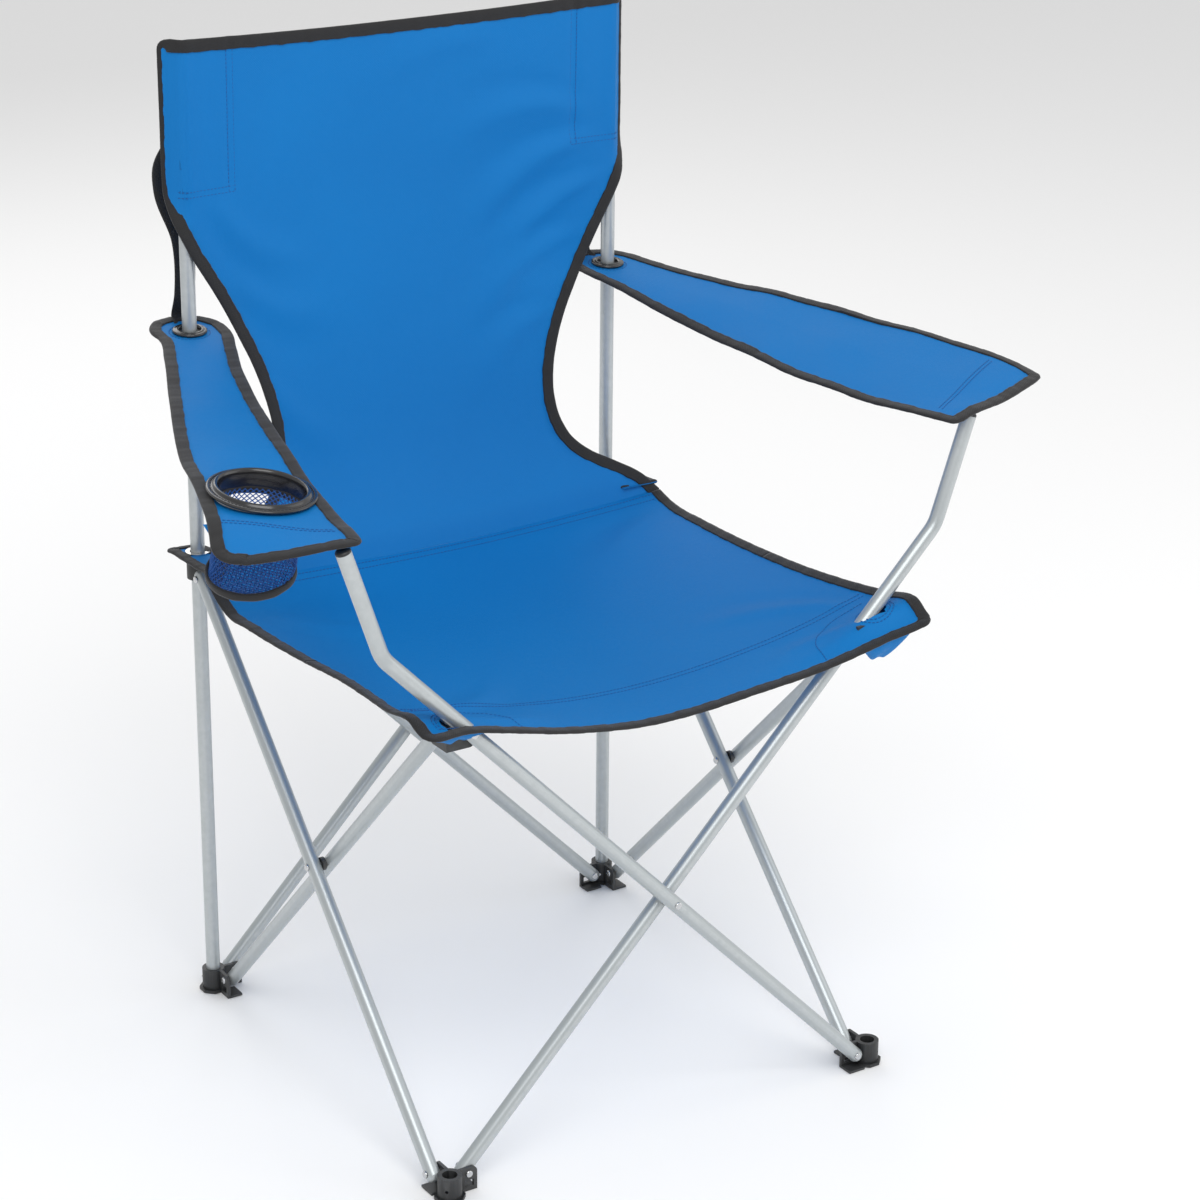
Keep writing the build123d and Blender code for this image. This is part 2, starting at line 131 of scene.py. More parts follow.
def roundCorner(p, corner):
    # pulls what lies past a rounded corner back onto its arc
    tip, d1, d2, r = (
        np.array(corner[0], float), unit(np.array(corner[1], float)),
        unit(np.array(corner[2], float)), corner[3]
    )
    half = math.acos(float(np.clip(d1 @ d2, -1, 1))) / 2
    centre = tip + unit(d1 + d2) * r / math.sin(half)
    a, b = tip + d1 * r / math.tan(half) - centre, tip + d2 * r / math.tan(half) - centre
    rel = p - centre
    det = a[0] * b[1] - a[1] * b[0]
    ca = (rel[..., 0] * b[1] - rel[..., 1] * b[0]) / det
    cb = (a[0] * rel[..., 1] - a[1] * rel[..., 0]) / det
    size = np.linalg.norm(rel, axis=-1)
    move = (ca > 0) & (cb > 0) & (size > r)
    return np.where(move[..., None], centre + rel * (r / np.maximum(size, 1e-9))[..., None], p)


def dropHoles(flat, faces, holes):
    # cuts openings in a grid: points near an opening's edge go onto it, faces inside it go
    flat = flat.copy()
    centre = flat[faces].mean(1)
    keep = np.ones(len(faces), bool)
    for cx, cy, rx, ry in holes:
        q = np.stack([(flat[:, 0] - cx) / rx, (flat[:, 1] - cy) / ry], 1)
        size = np.linalg.norm(q, axis=1)
        near = np.abs(size - 1) * min(rx, ry) < 0.0021
        flat[near] = np.array([cx, cy]) + q[near] / size[near, None] * np.array([rx, ry])
        mid = np.hypot((centre[:, 0] - cx) / rx, (centre[:, 1] - cy) / ry)
        keep &= mid > 1
    return flat, faces[keep]


def clothGrid(name, place, flat, rows, cols, holes=()):
    # a sheet whose flat points are laid on a surface by place(x, y)
    flat, faces = dropHoles(flat.reshape(-1, 2), gridFaces(rows, cols), holes)
    used = np.unique(faces)
    index = np.full(len(flat), -1)
    index[used] = np.arange(len(used))
    flat = flat[used]
    return newPiece(name, place(flat[:, 0], flat[:, 1]), index[faces], flat)


def onSurface(place, flat, closed=False):
    # points on the cloth along a flat line, with the directions along it, into the cloth and out of it
    p = place(flat[:, 0], flat[:, 1])
    step = (np.roll(flat, -1, 0) - np.roll(flat, 1, 0)) if closed else np.gradient(flat, axis=0)
    inward = unit(np.stack([-step[:, 1], step[:, 0]], 1)) * 0.0005
    inside = place(flat[:, 0] + inward[:, 0], flat[:, 1] + inward[:, 1])
    along = (np.roll(p, -1, 0) - np.roll(p, 1, 0)) if closed else np.gradient(p, axis=0)
    along = unit(along)
    into = unit(inside - p)
    into = unit(into - (into * along).sum(1, keepdims=True) * along)
    return p, along, into, unit(np.cross(along, into))


tapeLook = {"width": 0.0098, "thick": 0.0030, "over": 0.0012, "wobble": 0.00045}


def bindingTape(name, place, flat, closed=False, seed=1, width=None, thick=None):
    # folded tape sewn over a cloth edge
    width = width or tapeLook["width"]
    thick = thick or tapeLook["thick"]
    p, along, into, up = onSurface(place, flat, closed)
    run = np.r_[0, np.cumsum(np.linalg.norm(np.diff(p, axis=0), axis=1))]
    rng = np.random.default_rng(seed)
    wave = sum(
        np.sin(run * k + f) * a for k, f,
        a in zip((230, 410, 690, 1130), rng.random(4) * 6.3, (1, 0.7, 0.6, 0.4))
    )
    wave = wave * tapeLook["wobble"] / 1.6
    shape = np.array([
        (1.0, 0.20), (0.985, 0.40), (0.90, 0.50), (0.80, 0.44), (0.70, 0.50), (0.40, 0.56),
        (0.12, 0.54), (-0.05, 0.40),
        (-0.12, 0.0), (-0.05, -0.40), (0.12, -0.54), (0.40, -0.56), (0.70, -0.50), (0.80, -0.44),
        (0.90, -0.50), (0.985, -0.40), (1.0, -0.20),
    ])
    n = len(shape)
    a = shape[None, :, 0] * (width + wave[:, None] * 0.8)
    b = shape[None, :, 1] * (thick + wave[:, None] * 0.9)
    verts = p[:, None] + into[:, None] * a[..., None] + up[:, None] * b[..., None]
    faces = gridFaces(len(p), n, True)
    if closed:
        last = np.stack(
            [
                (len(p) - 1) * n + np.arange(n), (len(p) - 1) * n + (np.arange(n) + 1) % n,
                (np.arange(n) + 1) % n, np.arange(n)
            ],
            1
        )
        faces = np.concatenate([faces, last])
    uvs = np.stack(np.broadcast_arrays(run[:, None], shape[None, :, 0] * width), -1).reshape(-1, 2)
    faces = [list(f) for f in faces]
    if not closed:
        faces += [list(range(n))[::-1], [(len(p) - 1) * n + k for k in range(n)]]
    return newPiece(name, verts.reshape(-1, 3), faces, uvs)


threadLook = {"pitch": 0.0036, "length": 0.0026, "radius": 0.00042, "lift": 0.00015}


def sewnLines(name, place, lines, side=1):
    # rows of stitches laid along flat lines on a sheet
    ring = np.array([(math.cos(k * math.pi / 3), math.sin(k * math.pi / 3)) for k in range(6)])
    rings = ((-0.5, 0.3), (-0.36, 0.9), (0.0, 1.0), (0.36, 0.9), (0.5, 0.3))
    verts, faces = [], []
    for line in lines:
        line = np.array(line, float)
        flat = curveThrough(line, max(8, 30 * len(line)))
        p, along, into, up = onSurface(place, flat)
        run = np.r_[0, np.cumsum(np.linalg.norm(np.diff(p, axis=0), axis=1))]
        spots = np.arange(threadLook["pitch"] / 2, run[-1], threadLook["pitch"])
        for s in spots:
            c = np.array([np.interp(s, run, p[:, k]) for k in range(3)])
            i = int(np.clip(np.searchsorted(run, s), 1, len(run) - 1))
            c = c + up[i] * side * threadLook["lift"]
            base = len(verts)
            for share, size in rings:
                for cx, cy in ring:
                    verts.append(
                        c + along[i] * share * threadLook["length"]
                        + (into[i] * cx + up[i] * cy) * size * threadLook["radius"]
                    )
            for r in range(len(rings) - 1):
                for k in range(6):
                    n = (k + 1) % 6
                    faces.append(
                        (base + r * 6 + k, base + r * 6 + n, base + (r + 1) * 6 + n, base + (r + 1) * 6 + k)
                    )
            faces.append(tuple(base + k for k in range(6))[::-1])
            faces.append(tuple(base + (len(rings) - 1) * 6 + k for k in range(6)))
    return newPiece(name, verts, faces)


def turned(name, profile, centre, axis, steps=72, lean=(1, 0, 0)):
    # a closed ring turned about an axis from a radius and height outline
    axis = unit(np.array(axis, float))
    a = unit(np.cross(axis, np.cross(np.array(lean, float), axis)))
    b = np.cross(axis, a)
    turn = np.linspace(0, 2 * math.pi, steps, endpoint=False)
    profile = np.array(profile, float)
    out = np.cos(turn)[:, None] * a + np.sin(turn)[:, None] * b
    verts = np.array(centre, float) + out[:, None] * profile[None, :, :1] + axis * profile[None, :, 1:]
    n = len(profile)
    faces = gridFaces(steps, n, True)
    last = np.stack(
        [
            (steps - 1) * n + np.arange(n), (steps - 1) * n + (np.arange(n) + 1) % n,
            (np.arange(n) + 1) % n, np.arange(n)
        ],
        1
    )
    return newPiece(name, verts.reshape(-1, 3), np.concatenate([faces, last]))


def creased(x, y, creases):
    # soft folds: (x1, y1, x2, y2, width, height) each fading out at its ends
    total = np.zeros(np.broadcast(x, y).shape)
    for x1, y1, x2, y2, width, height in creases:
        dx, dy = x2 - x1, y2 - y1
        size = math.hypot(dx, dy)
        t = ((x - x1) * dx + (y - y1) * dy) / size ** 2
        off = ((x - x1) * dy - (y - y1) * dx) / size
        bend = 0.12 * size * np.sin(np.clip(t, 0, 1) * math.pi)
        fade = smoothStep(-0.05, 0.3, t) * (1 - smoothStep(0.55, 1.05, t))
        w = width * (0.5 + 0.8 * np.clip(t, 0, 1))
        total = total + height * fade * (
            np.exp(-((off - bend) / w) ** 2) - 0.5 * np.exp(-((off - bend - 2.1 * w) / w) ** 2)
        )
    return total


# The back

back = {
    # height, distance in front of the posts, half width: down one side edge
    "edge": [
        (0.9055, 0.0090, 0.2360), (0.8700, 0.0090, 0.2360), (0.8300, 0.0090, 0.2360),
        (0.7900, 0.0090, 0.2362), (0.7650, 0.0091, 0.2350),
        (0.7400, 0.0093, 0.2300), (0.7200, 0.0095, 0.2210), (0.7000, 0.0096, 0.2093),
        (0.6800, 0.0098, 0.1975), (0.6600, 0.0100, 0.1868),
        (0.6400, 0.0102, 0.1770), (0.6100, 0.0110, 0.1632), (0.5800, 0.0128, 0.1532),
        (0.5560, 0.0155, 0.1482), (0.5300, 0.0195, 0.1475),
        (0.5070, 0.0250, 0.1525), (0.4890, 0.0315, 0.1630), (0.4760, 0.0380, 0.1790),
        (0.4660, 0.0445, 0.1980), (0.4530, 0.0540, 0.2210),
        (0.4345, 0.0615, 0.2400),
    ],
    "slack": [
        (0.0, 0.002), (0.06, 0.005), (0.16, 0.009), (0.28, 0.010), (0.36, 0.009), (0.42, 0.010),
        (0.48, 0.014)
    ],
    "topSag": 0.0045,
    "seamDrop": 0.0100,
    "ridge": 0.0016,  # the cloth stands out over the post inside the sleeve
    "creases": [
        (
            0.205, 0.775, 0.060, 0.690, 0.013, 0.0034
        ), (0.215, 0.740, 0.085, 0.640, 0.012, 0.0030), (0.195, 0.800, 0.030, 0.775, 0.014, 0.0026),
        (0.190, 0.690, 0.060, 0.590, 0.013, 0.0024), (
            -0.200, 0.770, -0.090, 0.690, 0.014, 0.0022
        ), (-0.185, 0.700, -0.060, 0.640, 0.015, 0.0020),
        (0.160, 0.620, 0.070, 0.540, 0.014, 0.0020), (
            -0.150, 0.600, -0.060, 0.520, 0.014, 0.0018
        ), (0.100, 0.880, -0.060, 0.830, 0.020, 0.0016),
        (-0.145, 0.540, -0.200, 0.462, 0.010, 0.0018), (0.145, 0.540, 0.200, 0.462, 0.010, 0.0020),
    ],
    "sleeveIn": 0.176,
    "sleeveBottom": 0.770,
    "rows": 110,
    "cols": 89,
}

backRun = np.r_[0, np.cumsum(np.hypot(*np.diff(np.array(back["edge"])[:, :2], axis=0).T))]
backLength = float(backRun[-1])
backTable = {
    k: list(zip(backRun, np.array(back["edge"])[:, i])) for i,
    k in enumerate(("z", "ahead", "half"))
}


def backHalf(s):
    return smoothTable(backTable["half"], s)


def wrapBack(x, s):
    # the cloth turns back round the outside of each post
    return 0.0165 * smoothStep(0.0, 0.0165, np.abs(x) - postX) * (1 - smoothStep(0.130, 0.185, s))


def backAt(x, s):
    x, s = np.broadcast_arrays(np.asarray(x, float), np.asarray(s, float))
    z, ahead, half = (smoothTable(backTable[k], s) for k in ("z", "ahead", "half"))
    share = np.clip(np.abs(x) / half, 0, 1.1)
    hang = 1 - share ** 2
    slack = smoothTable(back["slack"], s) * hang
    lower = smoothStep(0.34, backLength, s)
    y = postY - ahead + slack * (1 - lower)
    sag = back["topSag"] * hang * (1 - smoothStep(0, 0.12, s))
    z = z - sag - back["seamDrop"] * hang * smoothStep(0.30, backLength, s)
    z0 = smoothTable(backTable["z"], s)
    fold = creased(x, z0, back["creases"]) * smoothStep(0.0, 0.014, half - np.abs(x))
    fold = fold * smoothStep(0.0, 0.03, backLength - s)
    over = back["ridge"] * np.exp(-((np.abs(x) - postX) / 0.008) ** 2) * (1 - smoothStep(0.125, 0.150, s))
    tuck = 0.0013 * (
        np.exp(-((np.abs(x) - back["sleeveIn"]) / 0.0035) ** 2)
    ) * (1 - smoothStep(0.128, 0.140, s))
    return np.stack([x, y - fold - over + tuck + wrapBack(x, s), z], -1)


def flatGrid(half, s0, s1, rows, cols, corners=()):
    s = np.linspace(s0, s1, rows)
    u = np.linspace(-1, 1, cols)
    p = np.stack(np.broadcast_arrays(u[None, :] * half(s)[:, None], s[:, None]), -1)
    for corner in corners:
        p = roundCorner(p, corner)
    return p


topCorners = [((w * 0.236, 0), (-w, 0), (0, 1), 0.009) for w in (-1, 1)]
clothGrid(
    "back_cloth", backAt, flatGrid(backHalf, 0, backLength, back["rows"], back["cols"], topCorners),
    back["rows"], back["cols"]
)

sideRun = np.linspace(backLength, 0.004, 190)
leftSide = np.stack([-backHalf(sideRun), sideRun], 1)
topLine = np.stack([np.linspace(-0.236, 0.236, 120), np.zeros(120)], 1)
backOutline = np.concatenate([leftSide, topLine, leftSide[::-1] * [-1, 1]])
for corner in topCorners:
    backOutline = roundCorner(backOutline, corner)
backOutline = backOutline[np.r_[True, np.linalg.norm(np.diff(backOutline, axis=0), axis=1) > 0.0006]]
bindingTape("back_binding", backAt, backOutline, seed=3, width=0.0100)
print("back cloth and binding")

# Sleeves behind the posts, with a lining round each post
sleeve = {"gap": 0.0012, "depth": 0.0178, "rows": 40, "cols": 41}


def flapAt(way):
    def place(x, s):
        p = backAt(x * way, s)
        d = x - postX
        bulge = np.where(d < 0, 1 - smoothStep(0.006, postX - back["sleeveIn"], -d), 1.0)
        wrapped = wrapBack(x, s)
        top = np.sqrt(np.clip(1 - (np.clip(0.0065 - s, 0, 1) / 0.0065) ** 2, 0, 1))
        p[..., 1] += sleeve["gap"] + np.maximum(sleeve["depth"] * bulge * (0.12 + 0.88 * top) - wrapped, 0)
        return p
    return place


sleeveRun = 0.9055 - back["sleeveBottom"]
for hand, way in (("left", -1), ("right", 1)):
    s, x = np.meshgrid(
        np.linspace(0.0004, sleeveRun, sleeve["rows"]),
        np.linspace(back["sleeveIn"] - 0.004, 0.2352, sleeve["cols"]), indexing="ij"
    )
    flat = roundCorner(np.stack([x, s], -1), ((0.236, 0), (-1, 0), (0, 1), 0.009))
    clothGrid(f"{hand}_sleeve", flapAt(way), flat, sleeve["rows"], sleeve["cols"])
    hem = np.stack([np.linspace(back["sleeveIn"] - 0.003, 0.226, 40), np.full(40, sleeveRun - 0.002)], 1)
    bindingTape(f"{hand}_sleeve_hem", flapAt(way), hem[::-1], seed=5, width=0.004, thick=0.0012)
    turn = np.linspace(0, 2 * math.pi, 28, endpoint=False)
    ring = np.stack([way * postX + 0.0074 * np.cos(turn), postY + 0.0072 * np.sin(turn)], 1)
    z = np.linspace(back["sleeveBottom"] + 0.002, 0.8965, 24)
    verts = np.concatenate([np.c_[ring, np.full(28, h)] for h in z])
    newPiece(f"{hand}_sleeve_lining", verts, gridFaces(24, 28, True))
    sewn = [
        [(way * (back["sleeveIn"] + d), 0.006), (way * (back["sleeveIn"] + d), sleeveRun + 0.001)]
        for d in (-0.003, 0.003)
    ]
    sewn += [
        [(way * (back["sleeveIn"] - 0.003), sleeveRun + d), (way * 0.2265, sleeveRun + d)]
        for d in (-0.003, 0.002)
    ]
    sewnLines(f"{hand}_sleeve_stitches", backAt, sewn)
print("sleeves")

# The seat

seat = {
    # half width, side edge height, middle height by distance behind the front hubs' centres
    "half": [
        (-0.0300, 0.2500), (-0.0100, 0.2525), (0.0150, 0.2530), (0.0500, 0.2500), (0.0750, 0.2465),
        (0.1200, 0.2425), (0.2000, 0.2402), (0.3000, 0.2396), (0.3775, 0.2400)
    ],
    "left": [
        (-0.0300, 0.4340), (0.0, 0.4380), (0.0350, 0.4365), (0.0900, 0.4315), (0.1235, 0.4290),
        (0.2105, 0.4205), (0.3025, 0.4160), (0.3450, 0.4165), (0.3640, 0.4250), (0.3775, 0.4345)
    ],
    "right": [
        (-0.0300, 0.4340), (0.0, 0.4385), (0.0350, 0.4365), (0.0900, 0.4320), (0.1465, 0.4280),
        (0.2235, 0.4250), (0.3045, 0.4250), (0.3450, 0.4262), (0.3640, 0.4300), (0.3775, 0.4345)
    ],
    "middle": [
        (-0.0300, 0.3950), (0.0400, 0.3935), (0.1200, 0.3935), (0.2000, 0.3960), (0.2600, 0.4000),
        (0.3200, 0.4090), (0.3775, 0.4245)
    ],
    "front": [
        (-0.252, 0.4340), (-0.208, 0.4300), (-0.162, 0.4190), (-0.120, 0.4080), (-0.085, 0.4010),
        (-0.046, 0.3955), (0.014, 0.3945), (0.075, 0.3990), (0.137, 0.4060), (0.190, 0.4165),
        (0.222, 0.4240), (0.252, 0.4330)
    ],
    "overhang": 0.0185,
    "creases": [
        (
            -0.225, -0.190, -0.090, -0.080, 0.012, 0.0020
        ), (0.225, -0.180, 0.100, -0.090, 0.012, 0.0020), (0.215, 0.120, 0.120, 0.040, 0.014, 0.0018),
        (-0.215, 0.120, -0.120, 0.030, 0.014, 0.0018), (
            -0.205, -0.215, -0.110, -0.200, 0.008, 0.0014
        ), (0.205, -0.215, 0.110, -0.205, 0.008, 0.0014),
    ],
    "cols": 97,
    "holeX": 0.0110,
    "holeY": 0.0078,
}


def seatHalf(y):
    return smoothTable(seat["half"], np.asarray(y) - frontY)


def frontEdgeY(x):
    bow = 0.008 * smoothStep(0.05, 0.235, np.abs(x))
    point = 0.006 * smoothStep(0.205, 0.245, np.abs(x))
    return frontY - seat["overhang"] + 0.004 - bow - point


def seatAt(x, y):
    x, y = np.broadcast_arrays(np.asarray(x, float), np.asarray(y, float))
    d = y - frontY
    half = seatHalf(y)
    share = np.clip(np.abs(x) / half, 0, 1.05)
    side, mid = np.where(
        x < 0, smoothTable(seat["left"], d), smoothTable(seat["right"], d)
    ), smoothTable(seat["middle"], d)
    power = 1.85 - 0.05 * smoothStep(0.25, 0.37, d)
    z = mid + (side - mid) * share ** power
    z = z + 0.006 * np.exp(-((x + 0.150) / 0.05) ** 2) * (1 - smoothStep(0.0, 0.12, d))
    edge = 1 - smoothStep(0.002, 0.030, y - frontEdgeY(x))
    z = z * (1 - edge) + smoothTable(seat["front"], x) * edge
    for way in (-1, 1):
        dx, dy = (x - way * postX), (d - 0.004)
        z = z + 0.0085 * np.exp(-(dx / 0.044) ** 2 - (dy / 0.024) ** 2) * (1 - 0.85 * edge)
    fold = creased(x, y, seat["creases"]) * smoothStep(0, 0.014, half - np.abs(x))
    fold = fold * smoothStep(0.0, 0.03, y - frontEdgeY(x))
    fade = smoothStep(0.0, 0.02, seamY - y)
    return np.stack([x, y, z + fold * fade], -1)


supportX = postX - 0.0025
supports = [
    (-supportX, frontY - 0.0057, seat["holeX"], seat["holeY"]),
    (supportX, frontY + 0.0110, seat["holeX"], seat["holeY"])
]


def seatGrid(y0, y1, rows, frontEdge=False):
    u = np.linspace(-1, 1, seat["cols"])
    v = np.linspace(0, 1, rows)[:, None]
    x = u[None, :] * seatHalf(y1)
    for _ in range(3):
        start = frontEdgeY(x) if frontEdge else np.full_like(x, y0)
        y = start + (y1 - start) * v
        x = u[None, :] * seatHalf(y)
    return np.stack([x, y + 0 * x], -1)


cornerX, cornerY = float(seatHalf(frontY - 0.0280)), float(frontEdgeY(0.248))
frontCorners = [((w * cornerX, cornerY), (-w, 0.02), (-w * 0.02, 1), 0.008) for w in (-1, 1)]
flat = seatGrid(0, splitY, 60, True)
for corner in frontCorners:
    flat = roundCorner(flat, corner)
clothGrid("seat_front_cloth", seatAt, flat, 60, seat["cols"], supports)
clothGrid("seat_rear_cloth", seatAt, seatGrid(splitY, seamY + 0.0035, 46), 46, seat["cols"])

ys = np.linspace(cornerY + 0.001, splitY, 90)
side = np.stack([seatHalf(ys), ys], 1)
xs = np.linspace(cornerX, -cornerX, 200)
frontLine = np.stack([xs, frontEdgeY(xs)], 1)
outline = np.concatenate([side[::-1], frontLine, side * [-1, 1]])
for corner in frontCorners:
    outline = roundCorner(outline, corner)
outline = outline[np.r_[True, np.linalg.norm(np.diff(outline, axis=0), axis=1) > 0.0008]]
bindingTape("seat_front_binding", seatAt, outline[::-1], seed=7, width=0.0098)
ys = np.linspace(splitY, seamY - 0.0015, 80)
for hand, way in (("left", -1), ("right", 1)):
    line = np.stack([way * seatHalf(ys), ys], 1)
    bindingTape(f"seat_{hand}_binding", seatAt, line if way > 0 else line[::-1], seed=9 + way, width=0.0098)

seamLines = [
    [(-0.236, seamY - d), (-0.08, seamY - d), (0.08, seamY - d), (0.236, seamY - d)]
    for d in (0.004, 0.011)
]
sewnLines("rear_seam_stitches", seatAt, seamLines)
pocketLine = [
    (-0.236, -0.186), (-0.19, -0.178), (-0.10, -0.169), (0.0, -0.166), (0.10, -0.168),
    (0.19, -0.172), (0.236, -0.172)
]
frontSewn = [[(x, y + d) for x, y in pocketLine] for d in (0, 0.006)]
for way, (cx, cy, rx, ry) in zip((-1, 1), supports):
    for grow in (0.0035, 0.0065):
        turn = np.linspace(0, 2 * math.pi, 13)
        frontSewn.append(
            [
                (
                    cx + (rx + grow) * math.cos(t),
                    max(cy + (ry + grow) * math.sin(t), float(frontEdgeY(cx)) + 0.0115)
                )
                for t in turn
            ]
        )
    frontSewn.append(
        [
            (way * 0.152, float(frontEdgeY(0.152)) + 0.011), (way * 0.160, -0.206),
            (way * 0.185, -0.188), (way * 0.229, -0.182)
        ]
    )
sewnLines("seat_front_stitches", seatAt, frontSewn)
print("seat cloth, bindings and stitching")

# Ears at the seat's rear corners, and pockets under its front corners

ear = {"inner": 0.200, "outer": 0.2385, "tipX": 0.2400, "tipBack": 0.0290, "lift": 0.0008}
for hand, way in (("left", -1), ("right", 1)):
    def earAt(x, y):
        x, y = np.broadcast_arrays(np.asarray(x, float), np.asarray(y, float))
        d = y - seamY
        z = earZ + ear["lift"] + 0.0020 * (1 - smoothStep(0.0, 0.03, d)) - 0.003 * smoothStep(0.07, 0.095, d)
        return np.stack([x, y, z], -1)
    tipY = postY + ear["tipBack"]
    v, u = np.meshgrid(np.linspace(0, 1, 46), np.linspace(0, 1, 27), indexing="ij")
    inX, outX = ear["inner"] + 0.010 * v ** 2, ear["outer"] + (ear["tipX"] - ear["outer"]) * v
    y = seamY - 0.0005 + (tipY - seamY) * v - 0.010 * (1 - u) * v
    flat = np.stack([way * (inX + (outX - inX) * u), y], -1)
    corners = [
        ((way * ear["tipX"], tipY), (0, -1), (-way, -0.25), 0.010),
        ((way * 0.210, tipY - 0.010), (way * -0.1, -1), (way, 0.25), 0.008)
    ]
    for corner in corners:
        flat = roundCorner(flat, corner)
    flat = flat.reshape(-1, 2) if way > 0 else flat[:, ::-1].reshape(-1, 2)
    clothGrid(
        f"{hand}_ear_cloth", earAt, flat, 46, 27,
        [(way * postX, postY, postR + 0.0036, postR + 0.0036)]
    )
    k = np.linspace(0, 1, 50)
    line = np.concatenate([
        np.stack(
            [
                way * (ear["outer"] + (ear["tipX"] - ear["outer"]) * k),
                seamY + 0.002 + (tipY - seamY - 0.002) * k
            ],
            1
        ),
        np.stack([way * (ear["tipX"] + (0.210 - ear["tipX"]) * k[1:]), tipY - 0.010 * k[1:]], 1),
        np.stack(
            [
                way * (0.200 + 0.010 * (1 - k[1:]) ** 2),
                tipY - 0.010 + (seamY + 0.004 - tipY + 0.010) * k[1:]
            ],
            1
        ),
    ])
    for corner in corners:
        line = roundCorner(line, corner)
    line = line[np.r_[True, np.linalg.norm(np.diff(line, axis=0), axis=1) > 0.0006]]
    bindingTape(f"{hand}_ear_binding", earAt, line if way > 0 else line[::-1], seed=21 + way, width=0.0085)

pocket = {"reach": 0.062, "depth": {"left": 0.015, "right": 0.028}}
for hand, way in (("left", -1), ("right", 1)):
    cx, cy = way * 0.2465, float(frontEdgeY(0.200)) + 0.003
    path = curveThrough(
        [
            (cx - way * pocket["reach"], cy + 0.004), (cx - way * 0.030, cy + 0.002),
            (cx - way * 0.004, cy + 0.005), (cx - way * 0.006, cy + 0.034),
            (cx - way * 0.009, cy + pocket["reach"])
        ],
        60
    )
    v, k = np.meshgrid(np.linspace(0, 1, 22), np.arange(60), indexing="ij")
    run = k / 59
    droop = pocket["depth"][hand] * np.sin(np.clip(run, 0, 1) * math.pi) ** 0.45
    x, y = path[k, 0], path[k, 1]
    inX, inY = way * (postX - 0.013), frontY + 0.013
    pull = (v ** 2.2) * 0.42
    x, y = x + (inX - x) * pull, y + (inY - y) * pull
    top = seatAt(path[:, 0], path[:, 1])[:, 2][k] - 0.0016
    z = top - droop * v + 0.0012 * np.sin(run * 31) * v
    uv = np.stack([run * 0.12, v * 0.03], -1).reshape(-1, 2)
    newPiece(f"{hand}_pocket_cloth", np.stack([x, y, z], -1).reshape(-1, 3), gridFaces(22, 60), uv)
print("ears and corner pockets")

# Armrests

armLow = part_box("left_armrest")[0]
armRearZ = middle("left_arm_grommet").z + 0.0012
armSlope = (armRearZ - (armLow.z + 0.0012)) / (postY - armLow.y)
ringMid = middle("cup_ring")
ringR = (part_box("cup_ring")[1].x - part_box("cup_ring")[0].x) / 2

arm = {
    # outward and forward from the post, from the front corner back to the rear end
    "inner": [
        (0.0800, -0.4560), (0.0725, -0.4130), (0.0575, -0.3290), (0.0255, -0.1860),
        (-0.0010, -0.0960), (-0.0190, -0.0500), (-0.0330, -0.0110), (-0.0335, 0.0120),
        (-0.0200, 0.0330), (0.0010, 0.0385)
    ],
    "outer": [
        (0.1865, -0.4110), (0.1760, -0.3900), (0.1550, -0.3300), (0.1325, -0.2530),
        (0.0845, -0.1340), (0.0480, -0.0500), (0.0320, -0.0080), (0.0300, 0.0160), (0.0185, 0.0330),
        (0.0010, 0.0385)
    ],
    "innerRight": [
        (0.0620, -0.4480), (0.0500, -0.4150), (0.0330, -0.3500), (0.0130, -0.2700),
        (-0.0010, -0.1860), (-0.0150, -0.1150), (-0.0250, -0.0650), (-0.0330, -0.0110),
        (-0.0335, 0.0120), (-0.0200, 0.0330), (0.0010, 0.0385)
    ],
    "outerRight": [
        (0.1900, -0.4080), (0.1900, -0.3830), (0.1780, -0.3400), (0.1480, -0.2620),
        (0.1000, -0.1500), (0.0640, -0.0700), (0.0420, -0.0100), (0.0330, 0.0160), (0.0185, 0.0330),
        (0.0010, 0.0385)
    ],
    "rows": 190,
    "cols": 33,
    "droop": {"left": 0.015, "right": 0.005},
    "pocket": 0.030,
    "grommetStitch": 0.0180,
    "supportOut": 0.085,
}


def armAt(way):
    droop = arm["droop"]["left" if way < 0 else "right"]

    def place(x, y):
        x, y = np.broadcast_arrays(np.asarray(x, float), np.asarray(y, float))
        out, ahead = np.abs(x) - postX, postY - y
        z = armRearZ - armSlope * ahead
        line = (out - ahead * 0.30) / 0.052
        z = z - 0.0016 * np.clip(np.abs(line), 0, 1.5) ** 2 * smoothStep(0.04, 0.16, ahead)
        if way > 0:
            low = 0.009 * (1 - 0.7 * smoothStep(0.34, 0.43, ahead))
            z = z + smoothStep(0.03, 0.15, ahead) * (
                0.006 * np.clip(line, 0, 1.2) - low * np.clip(-line, 0, 1.2)
            )
        else:
            dx, dy = x - ringMid.x, y - ringMid.y
            z = z + (0.026 * dy - 0.090 * dx) * np.exp(-(np.hypot(dx, dy) / 0.068) ** 4)
        corner = np.clip(np.hypot(out - 0.085, ahead - 0.30) - 0.075, 0, 1)
        nearFront = smoothStep(0.33, 0.43, ahead)
        z = z - droop * smoothStep(0.0, 0.085, corner) * nearFront * smoothStep(0.08, 0.19, out)
        nose = np.exp(-((out - 0.083) / 0.020) ** 2 - ((ahead - 0.432) / 0.020) ** 2)
        z = z + 0.0020 * nose
        ripple = 0.0009 * np.sin(ahead * 61 + out * 20) * np.sin(out * 48 + 1.1)
        ripple = ripple * smoothStep(0.05, 0.12, ahead)
        return np.stack([x, y, z + ripple], -1)
    return place


